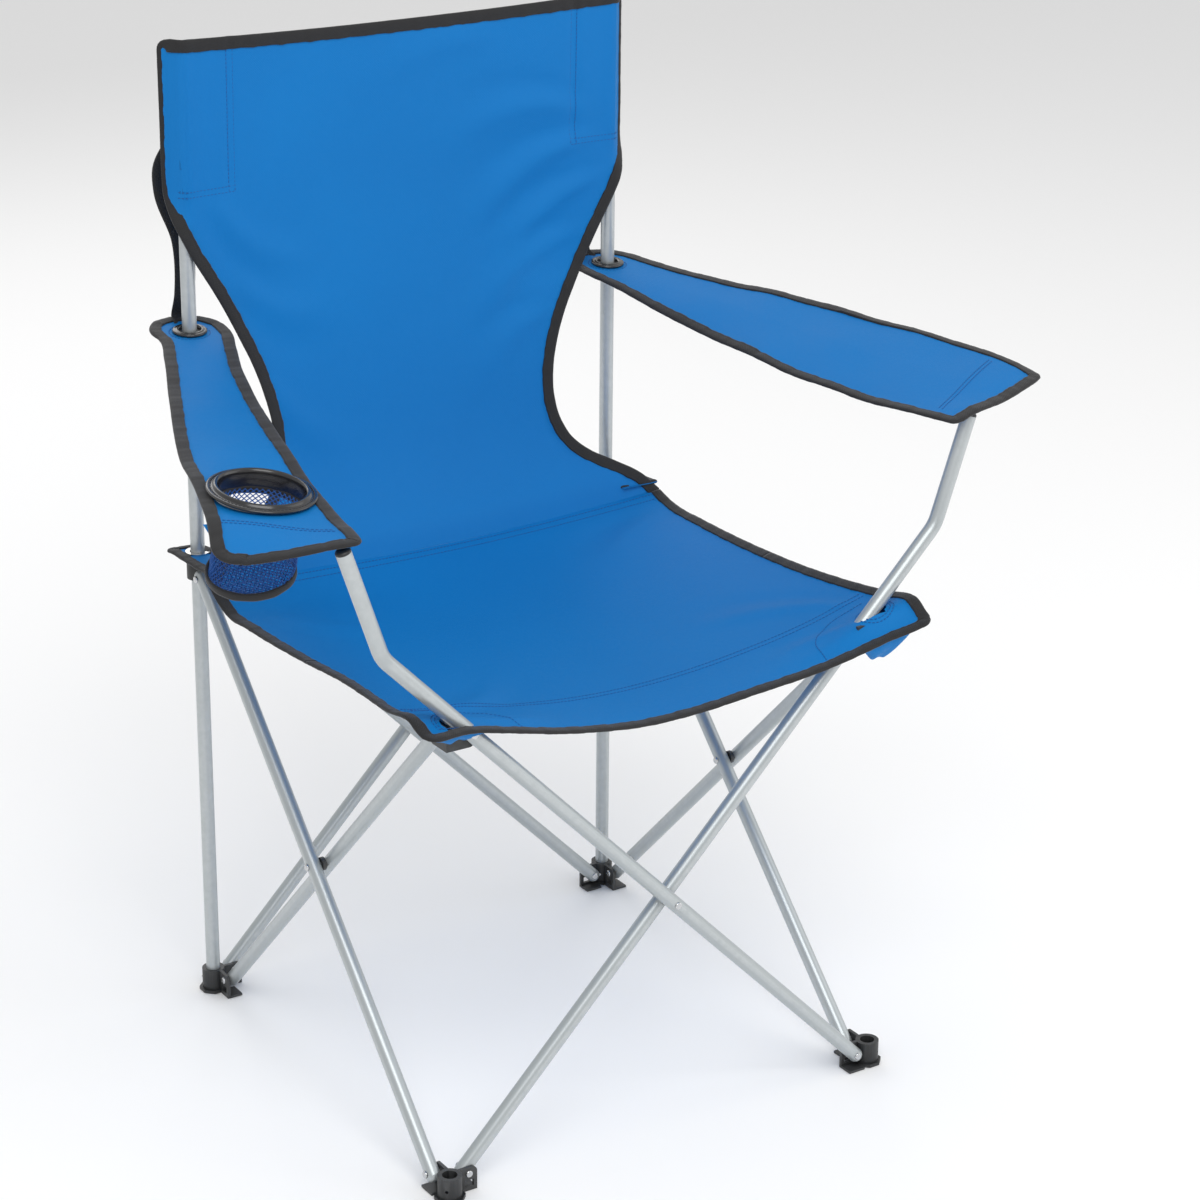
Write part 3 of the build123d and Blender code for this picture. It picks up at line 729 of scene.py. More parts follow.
for hand, way in (("left", -1), ("right", 1)):
    place = armAt(way)
    inner = curveThrough(arm["inner" if way < 0 else "innerRight"], arm["rows"])
    outer = curveThrough(arm["outer" if way < 0 else "outerRight"], arm["rows"])
    u = np.linspace(0, 1, arm["cols"])[None, :, None]
    rel = inner[:, None] * (1 - u) + outer[:, None] * u
    bow = 0.004 * np.sin(u[..., 0] * math.pi) * (
        1 - smoothStep(0, 0.2, np.linspace(0, 1, arm["rows"]))
    )[:, None]
    rel[..., 1] -= bow
    frontWay = unit(outer[0] - inner[0])
    corners = [
        (tuple(inner[0]), tuple(frontWay), tuple(unit(inner[6] - inner[0])), 0.008),
        (tuple(outer[0]), tuple(-frontWay), tuple(unit(outer[6] - outer[0])), 0.022 if way < 0 else 0.010),
    ]

    def laid(p):
        for corner in corners:
            p = roundCorner(p, corner)
        return np.stack([way * (postX + p[..., 0]), postY + p[..., 1]], -1)
    flat = laid(rel)
    if way < 0:
        flat = flat[:, ::-1]
    holes = [(way * postX, postY, 0.0125, 0.0125)]
    if way < 0:
        holes.append((ringMid.x, ringMid.y, ringR - 0.0055, ringR - 0.0055))
    clothGrid(f"{hand}_arm_cloth", place, flat, arm["rows"], arm["cols"], holes)
    u = np.linspace(0, 1, 60)[1:-1]
    front = inner[0] * (1 - u[:, None]) + outer[0] * u[:, None]
    front[:, 1] -= 0.004 * np.sin(u * math.pi)
    line = laid(np.concatenate([front, outer, inner[::-1][1:]]))
    line = line[np.r_[True, np.linalg.norm(np.diff(line, axis=0), axis=1) > 0.0007]]
    line = line if way > 0 else line[::-1]
    bindingTape(f"{hand}_arm_binding", place, line, closed=True, seed=31 + way, width=0.0096)
    a, b = inner[0] + np.array([0.012, 0.0]), outer[0] + np.array([-0.012, 0.0])
    sewn = []
    for behind in (arm["pocket"], arm["pocket"] + 0.004):
        p, q = laid(np.array([a + [-0.004, behind], b + [-0.010, behind + 0.012]]))
        sewn.append([p, (p + q) / 2, q])
    turn = np.linspace(0, 2 * math.pi, 17)
    r = arm["grommetStitch"]
    sewn.append([(way * postX + r * math.cos(t), postY + r * math.sin(t)) for t in turn])
    sewnLines(f"{hand}_arm_stitches", place, sewn)
    # pocket under the front, round the end of the arm support
    v, k = np.meshgrid(np.linspace(0, 1, 26), np.linspace(0, 1, 60), indexing="ij")
    rel = (inner[0] + [0.004, 0.003]) * (1 - k[..., None]) + (outer[0] + [-0.012, 0.006]) * k[..., None]
    rel = rel + np.stack([-0.004 * v, arm["pocket"] * v + 0.010 * k * v], -1)
    flat = laid(rel)
    p = place(flat[..., 0], flat[..., 1])
    swell = np.exp(-((rel[..., 0] - arm["supportOut"]) / 0.017) ** 2) * 0.012 + 0.0035
    p[..., 2] -= 0.0012 + swell * (np.sin(v * math.pi) ** 0.7) * (np.sin(k * math.pi) ** 0.35)
    newPiece(
        f"{hand}_arm_pocket", p.reshape(-1, 3), gridFaces(26, 60),
        np.stack([k * 0.11, v * 0.03], -1).reshape(-1, 2)
    )
print("armrests")

# Grommets, eyelets and the cup holder

armUp = unit(np.array([0.0, -armSlope, 1.0]))
grommetLook = [
    (0.0096, -0.0035), (0.0108, -0.0042), (0.0150, -0.0040), (0.0155, -0.0030), (0.0150, -0.0020),
    (0.0124, -0.0016), (0.0122, 0.0016), (0.0149, 0.0020), (0.0155, 0.0028), (0.0152, 0.0038),
    (0.0140, 0.0044), (0.0126, 0.0040), (0.0118, 0.0046), (0.0106, 0.0050), (0.0097, 0.0042),
    (0.0094, 0.0020)
]
for hand in ("left", "right"):
    c = middle(f"{hand}_arm_grommet")
    turned(f"{hand}_grommet_ring", grommetLook[::-1], tuple(c), armUp, 64)

ringLook = [
    (0.0344, -0.0110), (0.0352, -0.0116), (0.0360, -0.0108), (0.0361, -0.0020), (0.0372, -0.0006),
    (0.0425, -0.0004), (0.0438, 0.0002), (0.0442, 0.0012), (0.0438, 0.0021), (0.0425, 0.0025),
    (0.0398, 0.0026), (0.0390, 0.0030), (0.0384, 0.0043), (0.0372, 0.0052), (0.0360, 0.0050),
    (0.0350, 0.0040), (0.0345, 0.0022)
]
ringUp = unit(np.array([0.090, -armSlope - 0.026, 1.0]))
side = unit(np.cross(ringUp, [1, 0, 0]))
sideX = np.cross(side, ringUp)
ringTop = np.array([ringMid.x, ringMid.y, armRearZ - armSlope * (postY - ringMid.y) + 0.0019])
turned("cup_ring_moulding", ringLook[::-1], ringTop, ringUp, 120)
verts, faces = [], []
for k in range(76):
    t = 2 * math.pi * k / 76
    out = sideX * math.cos(t) + side * math.sin(t)
    along = side * math.cos(t) - sideX * math.sin(t)
    c = ringTop + out * 0.0411 + ringUp * 0.0027
    base = len(verts)
    for share, size in ((-0.5, 0.3), (-0.3, 1), (0.3, 1), (0.5, 0.3)):
        for a in range(6):
            w = a * math.pi / 3
            verts.append(
                c + along * share * 0.0026 + (out * math.cos(w) + ringUp * math.sin(w)) * size * 0.00045
            )
    for r in range(3):
        for a in range(6):
            n = (a + 1) % 6
            faces.append(
                (base + r * 6 + a, base + r * 6 + n, base + (r + 1) * 6 + n, base + (r + 1) * 6 + a)
            )
newPiece("cup_ring_stitches", verts, faces)

pouch = {
    "top": 0.0352, "foot": 0.0345, "footAt": Vector((-0.0155, -0.0080, -0.0605)),
    "lean": (-0.14, -0.23, 1.0), "around": 46, "down": 13, "strand": 0.00062
}
footC = ringTop + np.array(pouch["footAt"])
footUp = unit(np.array(pouch["lean"]))
footA = unit(np.cross(footUp, np.cross([1.0, 0, 0], footUp)))
footB = np.cross(footUp, footA)


def pouchWall(t, v):
    topP = ringTop - ringUp * 0.0100 + (
        np.cos(t)[..., None] * sideX + np.sin(t)[..., None] * side
    ) * pouch["top"]
    footP = footC + (np.cos(t)[..., None] * footA + np.sin(t)[..., None] * footB) * pouch["foot"]
    p = topP * (1 - v[..., None]) + footP * v[..., None]
    out = np.cos(t)[..., None] * sideX + np.sin(t)[..., None] * side
    slackness = 0.0030 * np.sin(v * math.pi) * (
        1 + 0.7 * np.sin(t * 3 + 1.0)
    ) + 0.0012 * np.sin(v * 17 + t * 4) * v
    return p - out * slackness[..., None]


def netFrom(name, place, us, vs, wrap, strand):
    # a diamond net: quads stood on their corners, opened into strands
    nu, nv = us, vs
    verts, faces, index = [], [], {}
    for j in range(2 * nv + 1):
        for i in range(nu if wrap else nu + 1):
            shift = 0.5 if j % 2 else 0.0
            index[(i, j)] = len(verts)
            verts.append(((i + shift) / nu, j / (2 * nv)))
    for j in range(2 * nv - 1):
        for i in range(nu):
            right = (i + 1) % nu if wrap else i + 1
            if j % 2 == 0:
                quad = [(right, j), (i, j + 1), (right, j + 2), (right, j + 1)]
            else:
                quad = [(i, j), (i, j + 1), (i, j + 2), (right, j + 1)]
            if all(q in index for q in quad):
                faces.append([index[q] for q in quad])
    flat = np.array(verts)
    obj = newPiece(name, place(flat[:, 0], flat[:, 1]), faces)
    wire = obj.modifiers.new("strands", "WIREFRAME")
    wire.thickness = strand * 2
    wire.use_boundary = True
    wire.use_even_offset = False
    applyModifiers(obj)
    return obj


def applyModifiers(obj):
    depsgraph = bpy.context.evaluated_depsgraph_get()
    mesh = bpy.data.meshes.new_from_object(obj.evaluated_get(depsgraph))
    obj.modifiers.clear()
    obj.data = mesh
    mesh.polygons.foreach_set("use_smooth", [True] * len(mesh.polygons))


netFrom(
    "pouch_net", lambda u, v: pouchWall(u * 2 * math.pi, v), pouch["around"], pouch["down"], True,
    pouch["strand"]
)


def footNet(u, v):
    # square cells mapped onto the foot's round face
    a, b = u * 2 - 1, v * 2 - 1
    x = a * np.sqrt(np.clip(1 - b * b / 2, 0, 1))
    y = b * np.sqrt(np.clip(1 - a * a / 2, 0, 1))
    return footC - footUp * 0.002 * (1 - (x * x + y * y))[:, None] + (
        x[:, None] * footA + y[:, None] * footB
    ) * pouch["foot"] * 0.985


netFrom("pouch_foot_net", footNet, 17, 12, False, pouch["strand"])


def ringTape(name, centre, a, b, up, radius, width, thick, seed):
    t = np.linspace(0, 2 * math.pi, 120, endpoint=False)
    rng = np.random.default_rng(seed)
    wave = 1 + 0.05 * np.sin(t * 7 + rng.random() * 6) + 0.04 * np.sin(t * 13 + 2)
    out = np.cos(t)[:, None] * a + np.sin(t)[:, None] * b
    shape = [
        (-0.5, -0.3), (-0.5, 0.3), (-0.3, 0.5), (0.3, 0.5), (0.5, 0.3), (0.5, -0.3), (0.3, -0.5),
        (-0.3, -0.5)
    ]
    rows = []
    for r, h in shape:
        rows.append(centre + out * (radius + r * thick * wave)[:, None] + up * (h * width * wave)[:, None])
    verts = np.stack(rows, 1).reshape(-1, 3)
    n = len(shape)
    faces = gridFaces(120, n, True)
    last = np.stack(
        [119 * n + np.arange(n), 119 * n + (np.arange(n) + 1) % n, (np.arange(n) + 1) % n, np.arange(n)],
        1
    )
    uvs = np.stack(
        np.broadcast_arrays((t * radius)[:, None], np.array(shape)[None, :, 1] * width), -1
    ).reshape(-1, 2)
    return newPiece(name, verts, np.concatenate([faces, last])[:, ::-1], uvs)


ringTape("pouch_foot_tape", footC, footA, footB, footUp, pouch["foot"] + 0.0004, 0.0068, 0.0024, 3)
ringTape(
    "pouch_top_tape", ringTop - ringUp * 0.0125, sideX, side, ringUp, pouch["top"] - 0.0002, 0.0060,
    0.0018, 4
)
t = np.linspace(-0.165, 0.165, 5) + 2.25
v = np.linspace(0, 1, 24)
tt, vv = np.meshgrid(t, v)
inside = pouchWall(tt.ravel(), vv.ravel())
newPiece("pouch_side_tape", inside, gridFaces(24, 5), np.stack([tt.ravel() * 0.035, vv.ravel() * 0.06], 1))
solid = joined["pouch_side_tape"].modifiers.new("thickness", "SOLIDIFY")
solid.thickness = 0.0016
solid.offset = 0
applyModifiers(joined["pouch_side_tape"])
print("cup ring and net pouch")

# Webbing straps behind the posts

strap = {"half": 0.0100, "thick": 0.0015, "rows": 60}
for hand, way in (("left", -1), ("right", 1)):
    shove = 0.007 if way < 0 else 0.002
    stops = [
        # outward of the post's centre, behind it, height
        (-0.006, 0.0250, armRearZ - 0.0020), (-0.008, 0.0330, armRearZ + 0.0030), (-0.009, 0.0270, 0.6750),
        (-0.006, 0.0225, 0.7250), (0.002 + shove, 0.0235, 0.7720), (0.003 + shove, 0.0215, 0.7900),
        (0.001, 0.0150, 0.8120),
    ]
    route = [(way * (postX + sideways), postY + behind, z) for sideways, behind, z in stops]
    route = curveThrough(route, strap["rows"])
    along = unit(np.gradient(route, axis=0))
    across = unit(np.cross(along, np.tile([0.0, 1.0, 0.0], (strap["rows"], 1))))
    out = unit(np.cross(across, along))
    shape = [
        (-1, -0.2), (-1, 0.2), (-0.9, 0.5), (-0.3, 0.5), (0.3, 0.5), (0.9, 0.5), (1, 0.2),
        (1, -0.2), (0.9, -0.5), (0.3, -0.5), (-0.3, -0.5), (-0.9, -0.5)
    ]
    cup = np.array([0.0010 * (a * a) for a, _ in shape])
    verts = np.stack(
        [
            route + across * a * strap["half"] + out * (b * strap["thick"] - c) for (a, b),
            c in zip(shape, cup)
        ],
        1
    ).reshape(-1, 3)
    faces = [list(f) for f in gridFaces(strap["rows"], len(shape), True)]
    faces += [
        list(range(len(shape)))[::-1],
        [(strap["rows"] - 1) * len(shape) + k for k in range(len(shape))]
    ]
    run = np.r_[0, np.cumsum(np.linalg.norm(np.diff(route, axis=0), axis=1))]
    uvs = np.stack(
        np.broadcast_arrays(run[:, None], np.array([a for a, _ in shape])[None] * strap["half"]), -1
    ).reshape(-1, 2)
    newPiece(f"{hand}_webbing", verts, faces, uvs)
print("webbing straps")

# Finishes

def socketPart(group, name, kind, out=False, value=None):
    item = group.interface.new_socket(name=name, in_out="OUTPUT" if out else "INPUT", socket_type=kind)
    if value is not None:
        item.default_value = value
    return item


def startGroup(name, ins, outs):
    group = bpy.data.node_groups.new(name, "ShaderNodeTree")
    for label, kind, value in ins:
        socketPart(group, label, kind, value=value)
    for label, kind in outs:
        socketPart(group, label, kind, out=True)
    return group, group.nodes.new("NodeGroupInput"), group.nodes.new("NodeGroupOutput")


def mathNode(tree, how, a, b=None, c=None):
    node = tree.nodes.new("ShaderNodeMath")
    node.operation = how
    for i, x in enumerate((a, b, c)):
        if x is None:
            continue
        if isinstance(x, (int, float)):
            node.inputs[i].default_value = x
        else:
            tree.links.new(x, node.inputs[i])
    return node.outputs[0]


def weaveGroup():
    # crossed threads over the cloth's own flat coordinates, with slubs, and a mask for painted shade in the
    # gaps between threads
    group, start, end = startGroup(
        "cloth weave", [("Threads", "NodeSocketFloat", 1300.0), ("Slub", "NodeSocketFloat", 0.3)],
        [("Height", "NodeSocketFloat"), ("Painted gap shade", "NodeSocketFloat")]
    )
    uv = group.nodes.new("ShaderNodeUVMap")
    uv.uv_map = "cloth"
    split = group.nodes.new("ShaderNodeSeparateXYZ")
    group.links.new(uv.outputs[0], split.inputs[0])
    noise = group.nodes.new("ShaderNodeTexNoise")
    noise.inputs["Scale"].default_value = 90.0
    noise.inputs["Detail"].default_value = 3.0
    group.links.new(uv.outputs[0], noise.inputs["Vector"])
    x = mathNode(group, "MULTIPLY", split.outputs[0], start.outputs["Threads"])
    y = mathNode(group, "MULTIPLY", split.outputs[1], start.outputs["Threads"])
    sx = mathNode(group, "SINE", mathNode(group, "MULTIPLY", x, math.pi))
    sy = mathNode(group, "SINE", mathNode(group, "MULTIPLY", y, math.pi))
    over = mathNode(group, "MULTIPLY", sx, sy)
    ribs = mathNode(group, "ADD", mathNode(group, "ABSOLUTE", sx), mathNode(group, "ABSOLUTE", sy))
    high = mathNode(
        group, "ADD", mathNode(group, "MULTIPLY", over, 0.45),
        mathNode(group, "MULTIPLY", ribs, 0.35)
    )
    slub = mathNode(group, "MULTIPLY", noise.outputs[0], start.outputs["Slub"])
    group.links.new(mathNode(group, "ADD", high, slub), end.inputs["Height"])
    group.links.new(
        mathNode(group, "SUBTRACT", 1.0, mathNode(group, "MINIMUM", ribs, 1.0)), end.inputs["Painted gap shade"]
    )
    return group


def patchGroup():
    # broad soft variation, for handling marks, uneven dye and dust
    group, start, end = startGroup(
        "soft patches", [("Scale", "NodeSocketFloat", 6.0), ("Contrast", "NodeSocketFloat", 0.5)],
        [("Mask", "NodeSocketFloat"), ("Fine", "NodeSocketFloat")]
    )
    place = group.nodes.new("ShaderNodeTexCoord")
    broad, fine = group.nodes.new("ShaderNodeTexNoise"), group.nodes.new("ShaderNodeTexNoise")
    broad.inputs["Detail"].default_value = 4.0
    fine.inputs["Detail"].default_value = 6.0
    group.links.new(place.outputs["Object"], broad.inputs["Vector"])
    group.links.new(place.outputs["Object"], fine.inputs["Vector"])
    group.links.new(start.outputs["Scale"], broad.inputs["Scale"])
    group.links.new(mathNode(group, "MULTIPLY", start.outputs["Scale"], 60.0), fine.inputs["Scale"])
    centred = mathNode(group, "SUBTRACT", broad.outputs[0], 0.5)
    group.links.new(
        mathNode(group, "ADD", mathNode(group, "MULTIPLY", centred, start.outputs["Contrast"]), 0.5),
        end.inputs["Mask"]
    )
    group.links.new(fine.outputs[0], end.inputs["Fine"])
    return group


def wearGroup():
    # lighter, rubbed edges on moulded and metal parts
    group, start, end = startGroup(
        "edge wear", [("Amount", "NodeSocketFloat", 0.5), ("Breakup", "NodeSocketFloat", 180.0)],
        [("Mask", "NodeSocketFloat")]
    )
    shape = group.nodes.new("ShaderNodeNewGeometry")
    place = group.nodes.new("ShaderNodeTexCoord")
    noise = group.nodes.new("ShaderNodeTexNoise")
    group.links.new(place.outputs["Object"], noise.inputs["Vector"])
    group.links.new(start.outputs["Breakup"], noise.inputs["Scale"])
    edge = mathNode(
        group, "MULTIPLY", mathNode(group, "SUBTRACT", shape.outputs["Pointiness"], 0.515), 14.0
    )
    edge = mathNode(group, "MAXIMUM", mathNode(group, "MINIMUM", edge, 1.0), 0.0)
    group.links.new(
        mathNode(
            group, "MULTIPLY", mathNode(group, "MULTIPLY", edge, noise.outputs[0]),
            start.outputs["Amount"]
        ),
        end.inputs["Mask"]
    )
    return group


weave, patches, wear = weaveGroup(), patchGroup(), wearGroup()


def useGroup(tree, group, **values):
    node = tree.nodes.new("ShaderNodeGroup")
    node.node_tree = group
    for label, value in values.items():
        node.inputs[label].default_value = value
    return node


def mixColour(tree, share, a, b):
    node = tree.nodes.new("ShaderNodeMix")
    node.data_type = "RGBA"
    for socket, x in ((node.inputs[0], share), (node.inputs[6], a), (node.inputs[7], b)):
        if isinstance(x, bpy.types.NodeSocket):
            tree.links.new(x, socket)
        else:
            socket.default_value = x if isinstance(x, float) else (*x, 1.0)
    return node.outputs[2]


def finish(name, values):
    material = bpy.data.materials.new(name)
    material.use_nodes = True
    shader = material.node_tree.nodes["Principled BSDF"]
    for label, value in values.items():
        shader.inputs[label].default_value = value
    return material, material.node_tree, shader


def bumpInto(tree, shader, height, strength, distance):
    bump = tree.nodes.new("ShaderNodeBump")
    bump.inputs["Strength"].default_value = strength
    bump.inputs["Distance"].default_value = distance
    tree.links.new(height, bump.inputs["Height"])
    tree.links.new(bump.outputs[0], shader.inputs["Normal"])


def clothFinish(name, colour, deep, threads, rough, sheen, tint, bumpSize=0.00022, spec=0.5):
    material, tree, shader = finish(
        name,
        {
            "Sheen Weight": sheen, "Sheen Roughness": 0.45, "Sheen Tint": (*tint, 1.0),
            "Specular IOR Level": spec
        }
    )
    threadsNode = useGroup(tree, weave, Threads=threads, Slub=0.35)
    soft = useGroup(tree, patches, Scale=5.0, Contrast=0.9)
    toned = mixColour(tree, soft.outputs["Mask"], deep, colour)
    # painted shade: the base colour is darkened in the gaps between threads, where shade would fall
    gapShadeColour = tuple(c * 0.45 for c in deep)
    tree.links.new(
        mixColour(tree, mathNode(tree, "MULTIPLY", threadsNode.outputs["Painted gap shade"], 0.5), toned, gapShadeColour),
        shader.inputs["Base Color"]
    )
    tree.links.new(
        mathNode(tree, "ADD", mathNode(tree, "MULTIPLY", soft.outputs["Fine"], 0.14), rough - 0.07),
        shader.inputs["Roughness"]
    )
    bumpInto(tree, shader, threadsNode.outputs["Height"], 0.55, bumpSize)
    return material


def solidFinish(name, colour, light, rough, metal, grain, grainSize, worn, **values):
    material, tree, shader = finish(name, dict(values, **{"Metallic": metal}))
    soft, edge = useGroup(tree, patches, Scale=grain, Contrast=0.8), useGroup(tree, wear, Amount=worn)
    toned = mixColour(tree, soft.outputs["Mask"], tuple(c * 0.9 for c in colour), colour)
    tree.links.new(mixColour(tree, edge.outputs["Mask"], toned, light), shader.inputs["Base Color"])
    tree.links.new(
        mathNode(tree, "ADD", mathNode(tree, "MULTIPLY", soft.outputs["Fine"], 0.16), rough - 0.08),
        shader.inputs["Roughness"]
    )
    bumpInto(tree, shader, soft.outputs["Fine"], 0.35, grainSize)
    return material


azure = clothFinish(
    "azure polyester", (0.0, 0.185, 0.53), (0.0, 0.150, 0.455), 1300.0, 0.60, 0.04, (0.2, 0.6, 1.0),
    spec=0.22
)
blackTape = clothFinish(
    "black binding tape", (0.020, 0.020, 0.021), (0.013, 0.013, 0.014), 900.0, 0.74, 0.25,
    (0.6, 0.6, 0.62), 0.00035, 0.35
)
webbing = clothFinish(
    "black webbing", (0.016, 0.016, 0.017), (0.009, 0.009, 0.010), 520.0, 0.66, 0.2,
    (0.5, 0.5, 0.5), 0.0005
)
blueThread = solidFinish(
    "blue sewing thread", (0.0, 0.080, 0.30), (0.0, 0.12, 0.40), 0.62, 0.0, 40.0, 0.0001, 0.2
)
blackThread = solidFinish(
    "black sewing thread", (0.03, 0.03, 0.033), (0.08, 0.08, 0.08), 0.6, 0.0, 40.0, 0.0001, 0.2
)
netBlue = solidFinish("net yarn", (0.004, 0.085, 0.36), (0.01, 0.14, 0.5), 0.55, 0.0, 60.0, 0.0001, 0.1)
coat = solidFinish(
    "silver powder coat", (0.44, 0.475, 0.485), (0.72, 0.74, 0.75), 0.36, 0.55, 26.0, 0.00005, 0.35,
    **{"Coat Weight": 0.25, "Coat Roughness": 0.22}
)
hubBlack = solidFinish(
    "black hub moulding", (0.017, 0.018, 0.019), (0.075, 0.077, 0.08), 0.46, 0.0, 30.0, 0.00012, 0.8
)
trimBlack = solidFinish(
    "polished black trim", (0.012, 0.012, 0.013), (0.05, 0.05, 0.052), 0.24, 0.0, 20.0, 0.00003,
    0.5, **{"Coat Weight": 0.4, "Coat Roughness": 0.12}
)
zinc = solidFinish("zinc rivet", (0.60, 0.61, 0.62), (0.85, 0.85, 0.86), 0.26, 1.0, 60.0, 0.00003, 0.6)
nickel = solidFinish("nickel eyelet", (0.66, 0.65, 0.63), (0.9, 0.9, 0.88), 0.18, 1.0, 60.0, 0.00002, 0.6)

bySlot = {
    "tube": coat, "hub_plastic": hubBlack, "trim_plastic": trimBlack, "rivet_metal": zinc,
    "eyelet_metal": nickel, "webbing": webbing, "pouch_net": netBlue, "blue_cloth": azure
}
for part in frame["record"]["subparts"]:
    node = frame["nodes"][part["node"]]
    node.data.materials.clear()
    node.data.materials.append(bySlot[part["material_slot"]])


def paint(material, slot, *names):
    for name in names:
        joined[name].data.materials.clear()
        joined[name].data.materials.append(material)


both = ("left", "right")
paint(azure, "blue_cloth", "back_cloth", "seat_front_cloth", "seat_rear_cloth")
for hand in both:
    paint(
        azure, "blue_cloth", f"{hand}_sleeve", f"{hand}_sleeve_lining", f"{hand}_ear_cloth",
        f"{hand}_pocket_cloth", f"{hand}_arm_cloth", f"{hand}_arm_pocket", f"{hand}_sleeve_hem"
    )
    paint(blackTape, "webbing", f"{hand}_ear_binding", f"{hand}_arm_binding", f"seat_{hand}_binding")
    paint(webbing, "webbing", f"{hand}_webbing")
    paint(blueThread, "blue_cloth", f"{hand}_sleeve_stitches", f"{hand}_arm_stitches")
    paint(trimBlack, "trim_plastic", f"{hand}_grommet_ring")
paint(
    blackTape, "webbing", "back_binding", "seat_front_binding", "pouch_foot_tape", "pouch_top_tape",
    "pouch_side_tape"
)
paint(blueThread, "blue_cloth", "rear_seam_stitches", "seat_front_stitches")
paint(blackThread, "webbing", "cup_ring_stitches")
paint(trimBlack, "trim_plastic", "cup_ring_moulding")
paint(netBlue, "pouch_net", "pouch_net", "pouch_foot_net")
print("finishes")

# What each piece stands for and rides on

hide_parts("back_panel")
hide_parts("front_seat_panel")
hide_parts("rear_seat_panel")
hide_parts("cup_ring")
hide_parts("cup_pouch")
for hand in both:
    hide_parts(f"{hand}_armrest")
    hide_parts(f"{hand}_seat_ear")
    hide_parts(f"{hand}_corner_pocket")
    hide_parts(f"{hand}_arm_strap")
    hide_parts(f"{hand}_arm_grommet")

# share of the open size that is left when folded: across the chair, and along each armrest
kept = {"across": 0.2823, "left": 0.4324, "right": 0.4245}
leftDown, rightDown = (-0.2017, -0.9746, -0.0971), (0.2091, -0.9727, -0.1007)


def rideAndFold(body, names, axis=None, anchor=None, keep=None):
    for name in names:
        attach(joined[name], body)
        if axis:
            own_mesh(joined[name])


across = {"axis": (1, 0, 0), "anchor": (-postX, 0, 0), "keep": kept["across"]}
rideAndFold(
    "rear_left_corner",
    [
        "back_cloth", "back_binding", "left_sleeve", "right_sleeve", "left_sleeve_hem",
        "right_sleeve_hem", "left_sleeve_stitches", "right_sleeve_stitches"
    ],
    **across
)
rideAndFold("front_seat", ["seat_front_cloth", "seat_front_binding", "seat_front_stitches"], **across)
rideAndFold(
    "rear_seat",
    ["seat_rear_cloth", "seat_left_binding", "seat_right_binding", "rear_seam_stitches"], **across
)
for hand, way, down in (("left", -1, leftDown), ("right", 1, rightDown)):
    rideAndFold(
        f"{hand}_arm",
        [f"{hand}_arm_cloth", f"{hand}_arm_binding", f"{hand}_arm_stitches", f"{hand}_arm_pocket"],
        axis=down, anchor=(way * postX, postY, armRearZ), keep=kept[hand]
    )
    rideAndFold(f"rear_{hand}_corner", [f"{hand}_sleeve_lining", f"{hand}_webbing", f"{hand}_grommet_ring"])
    rideAndFold(f"rear_{hand}_slider", [f"{hand}_ear_cloth", f"{hand}_ear_binding"])
    rideAndFold(f"front_{hand}_bracket", [f"{hand}_pocket_cloth"])
rideAndFold("cup_holder", ["cup_ring_moulding", "cup_ring_stitches"])
rideAndFold(
    "cup_holder",
    ["pouch_net", "pouch_foot_net", "pouch_foot_tape", "pouch_top_tape", "pouch_side_tape"],
    axis=tuple(armUp), anchor=tuple(ringTop), keep=0.35
)

# Floor, light and camera

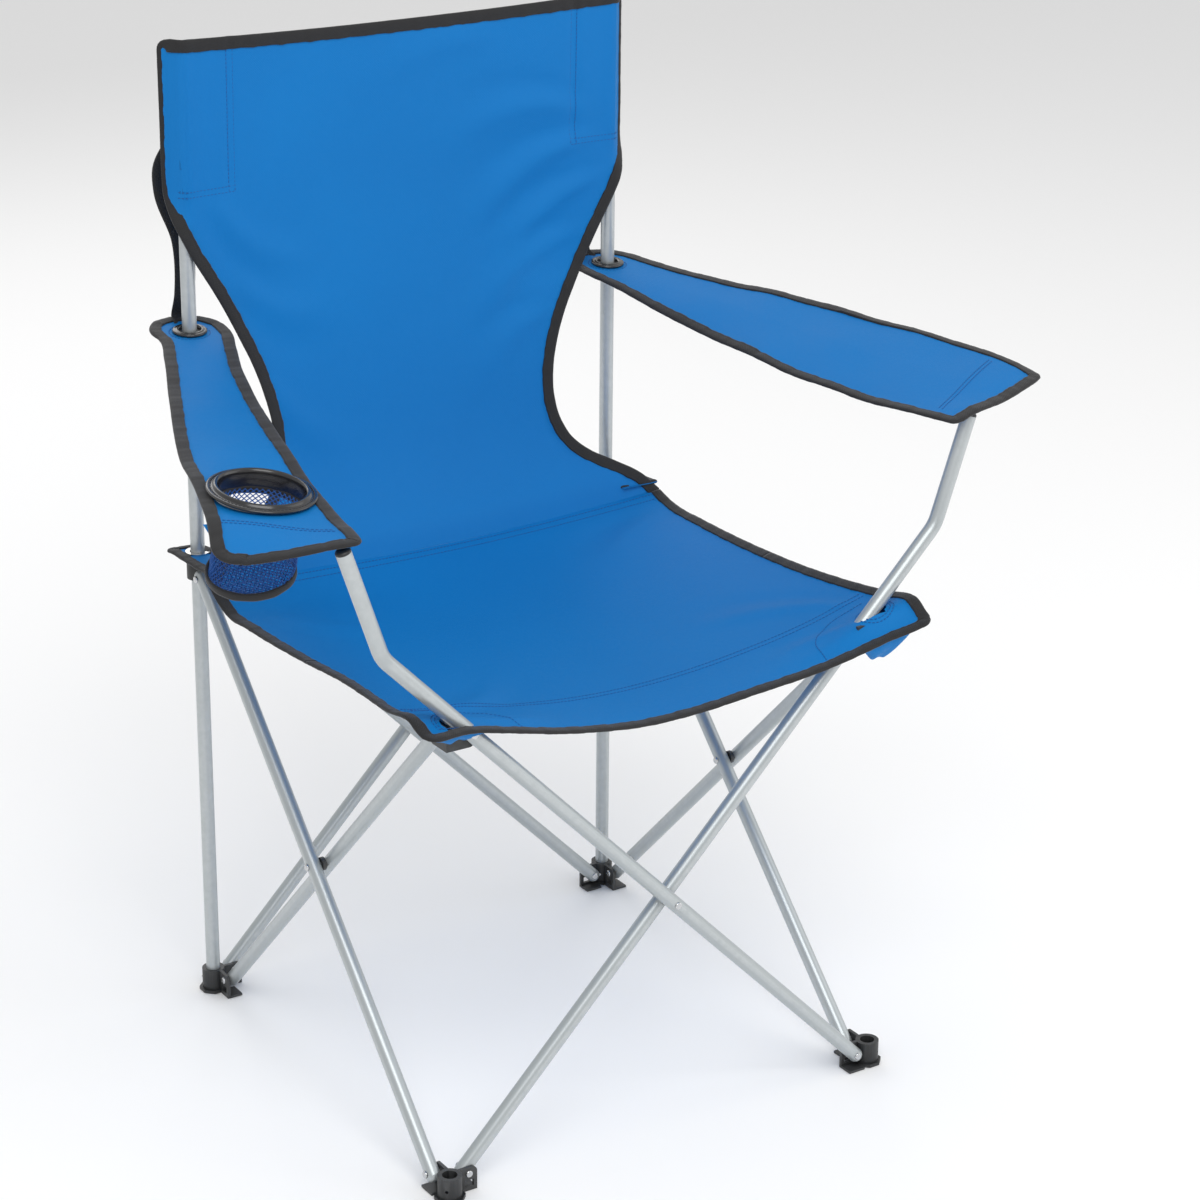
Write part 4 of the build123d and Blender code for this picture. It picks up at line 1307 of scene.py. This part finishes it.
studio = {"floor": (0.96, 0.96, 0.96), "key": 54.0, "fill": 20.0, "rim": 20.0, "sky": 0.70}
floorMesh = bpy.data.meshes.new("floor")
floorMesh.from_pydata(
    [(-30, -30, -0.0006), (30, -30, -0.0006), (30, 30, -0.0006), (-30, 30, -0.0006)], [],
    [(0, 1, 2, 3)]
)
floor = bpy.data.objects.new("floor", floorMesh)
bpy.context.scene.collection.objects.link(floor)
floorFinish, _, floorShader = finish("pale floor", {"Roughness": 0.85, "Specular IOR Level": 0.1})
floorShader.inputs["Base Color"].default_value = (*studio["floor"], 1)
floorMesh.materials.append(floorFinish)

world = bpy.data.worlds.new("studio")
world.use_nodes = True
world.node_tree.nodes["Background"].inputs[0].default_value = (1, 1, 1, 1)
world.node_tree.nodes["Background"].inputs[1].default_value = studio["sky"]
bpy.context.scene.world = world
bpy.context.scene.view_settings.view_transform = "Standard"


def softLight(name, power, size, place, target):
    light = bpy.data.lights.new(name, "AREA")
    light.energy, light.size = power, size
    obj = bpy.data.objects.new(name, light)
    bpy.context.scene.collection.objects.link(obj)
    obj.location = place
    obj.rotation_euler = (Vector(target) - Vector(place)).to_track_quat("-Z", "Y").to_euler()
    return obj


aim = (0, 0, 0.45)
softLight("key", studio["key"], 2.2, (-1.0, -2.2, 2.8), aim)
softLight("fill", studio["fill"], 2.6, (2.6, -1.6, 1.5), aim)
softLight("rim", studio["rim"], 2.0, (0.4, 2.6, 2.4), aim)

view = {
    "place": (-1.3978, -2.2367, 1.4350), "azimuth": -32.192, "elevation": 20.115, "roll": 0.117,
    "lens": 95.87, "shift": (0.0496, -0.0440)
}
az, el, roll = (math.radians(view[k]) for k in ("azimuth", "elevation", "roll"))
backward = Vector((math.sin(az) * math.cos(el), -math.cos(az) * math.cos(el), math.sin(el)))
right = Vector((math.cos(az), math.sin(az), 0))
up = backward.cross(right)
newRight = right * math.cos(roll) + up * math.sin(roll)
newUp = up * math.cos(roll) - right * math.sin(roll)
cameraData = bpy.data.cameras.new("camera")
cameraData.lens, cameraData.sensor_width = view["lens"], 36.0
cameraData.shift_x, cameraData.shift_y = view["shift"]
camera = bpy.data.objects.new("camera", cameraData)
bpy.context.scene.collection.objects.link(camera)
turnTo = [[newRight[i], newUp[i], backward[i], view["place"][i]] for i in range(3)] + [[0, 0, 0, 1]]
camera.matrix_world = type(camera.matrix_world)(turnTo)
bpy.context.scene.camera = camera
print("floor, light and camera")
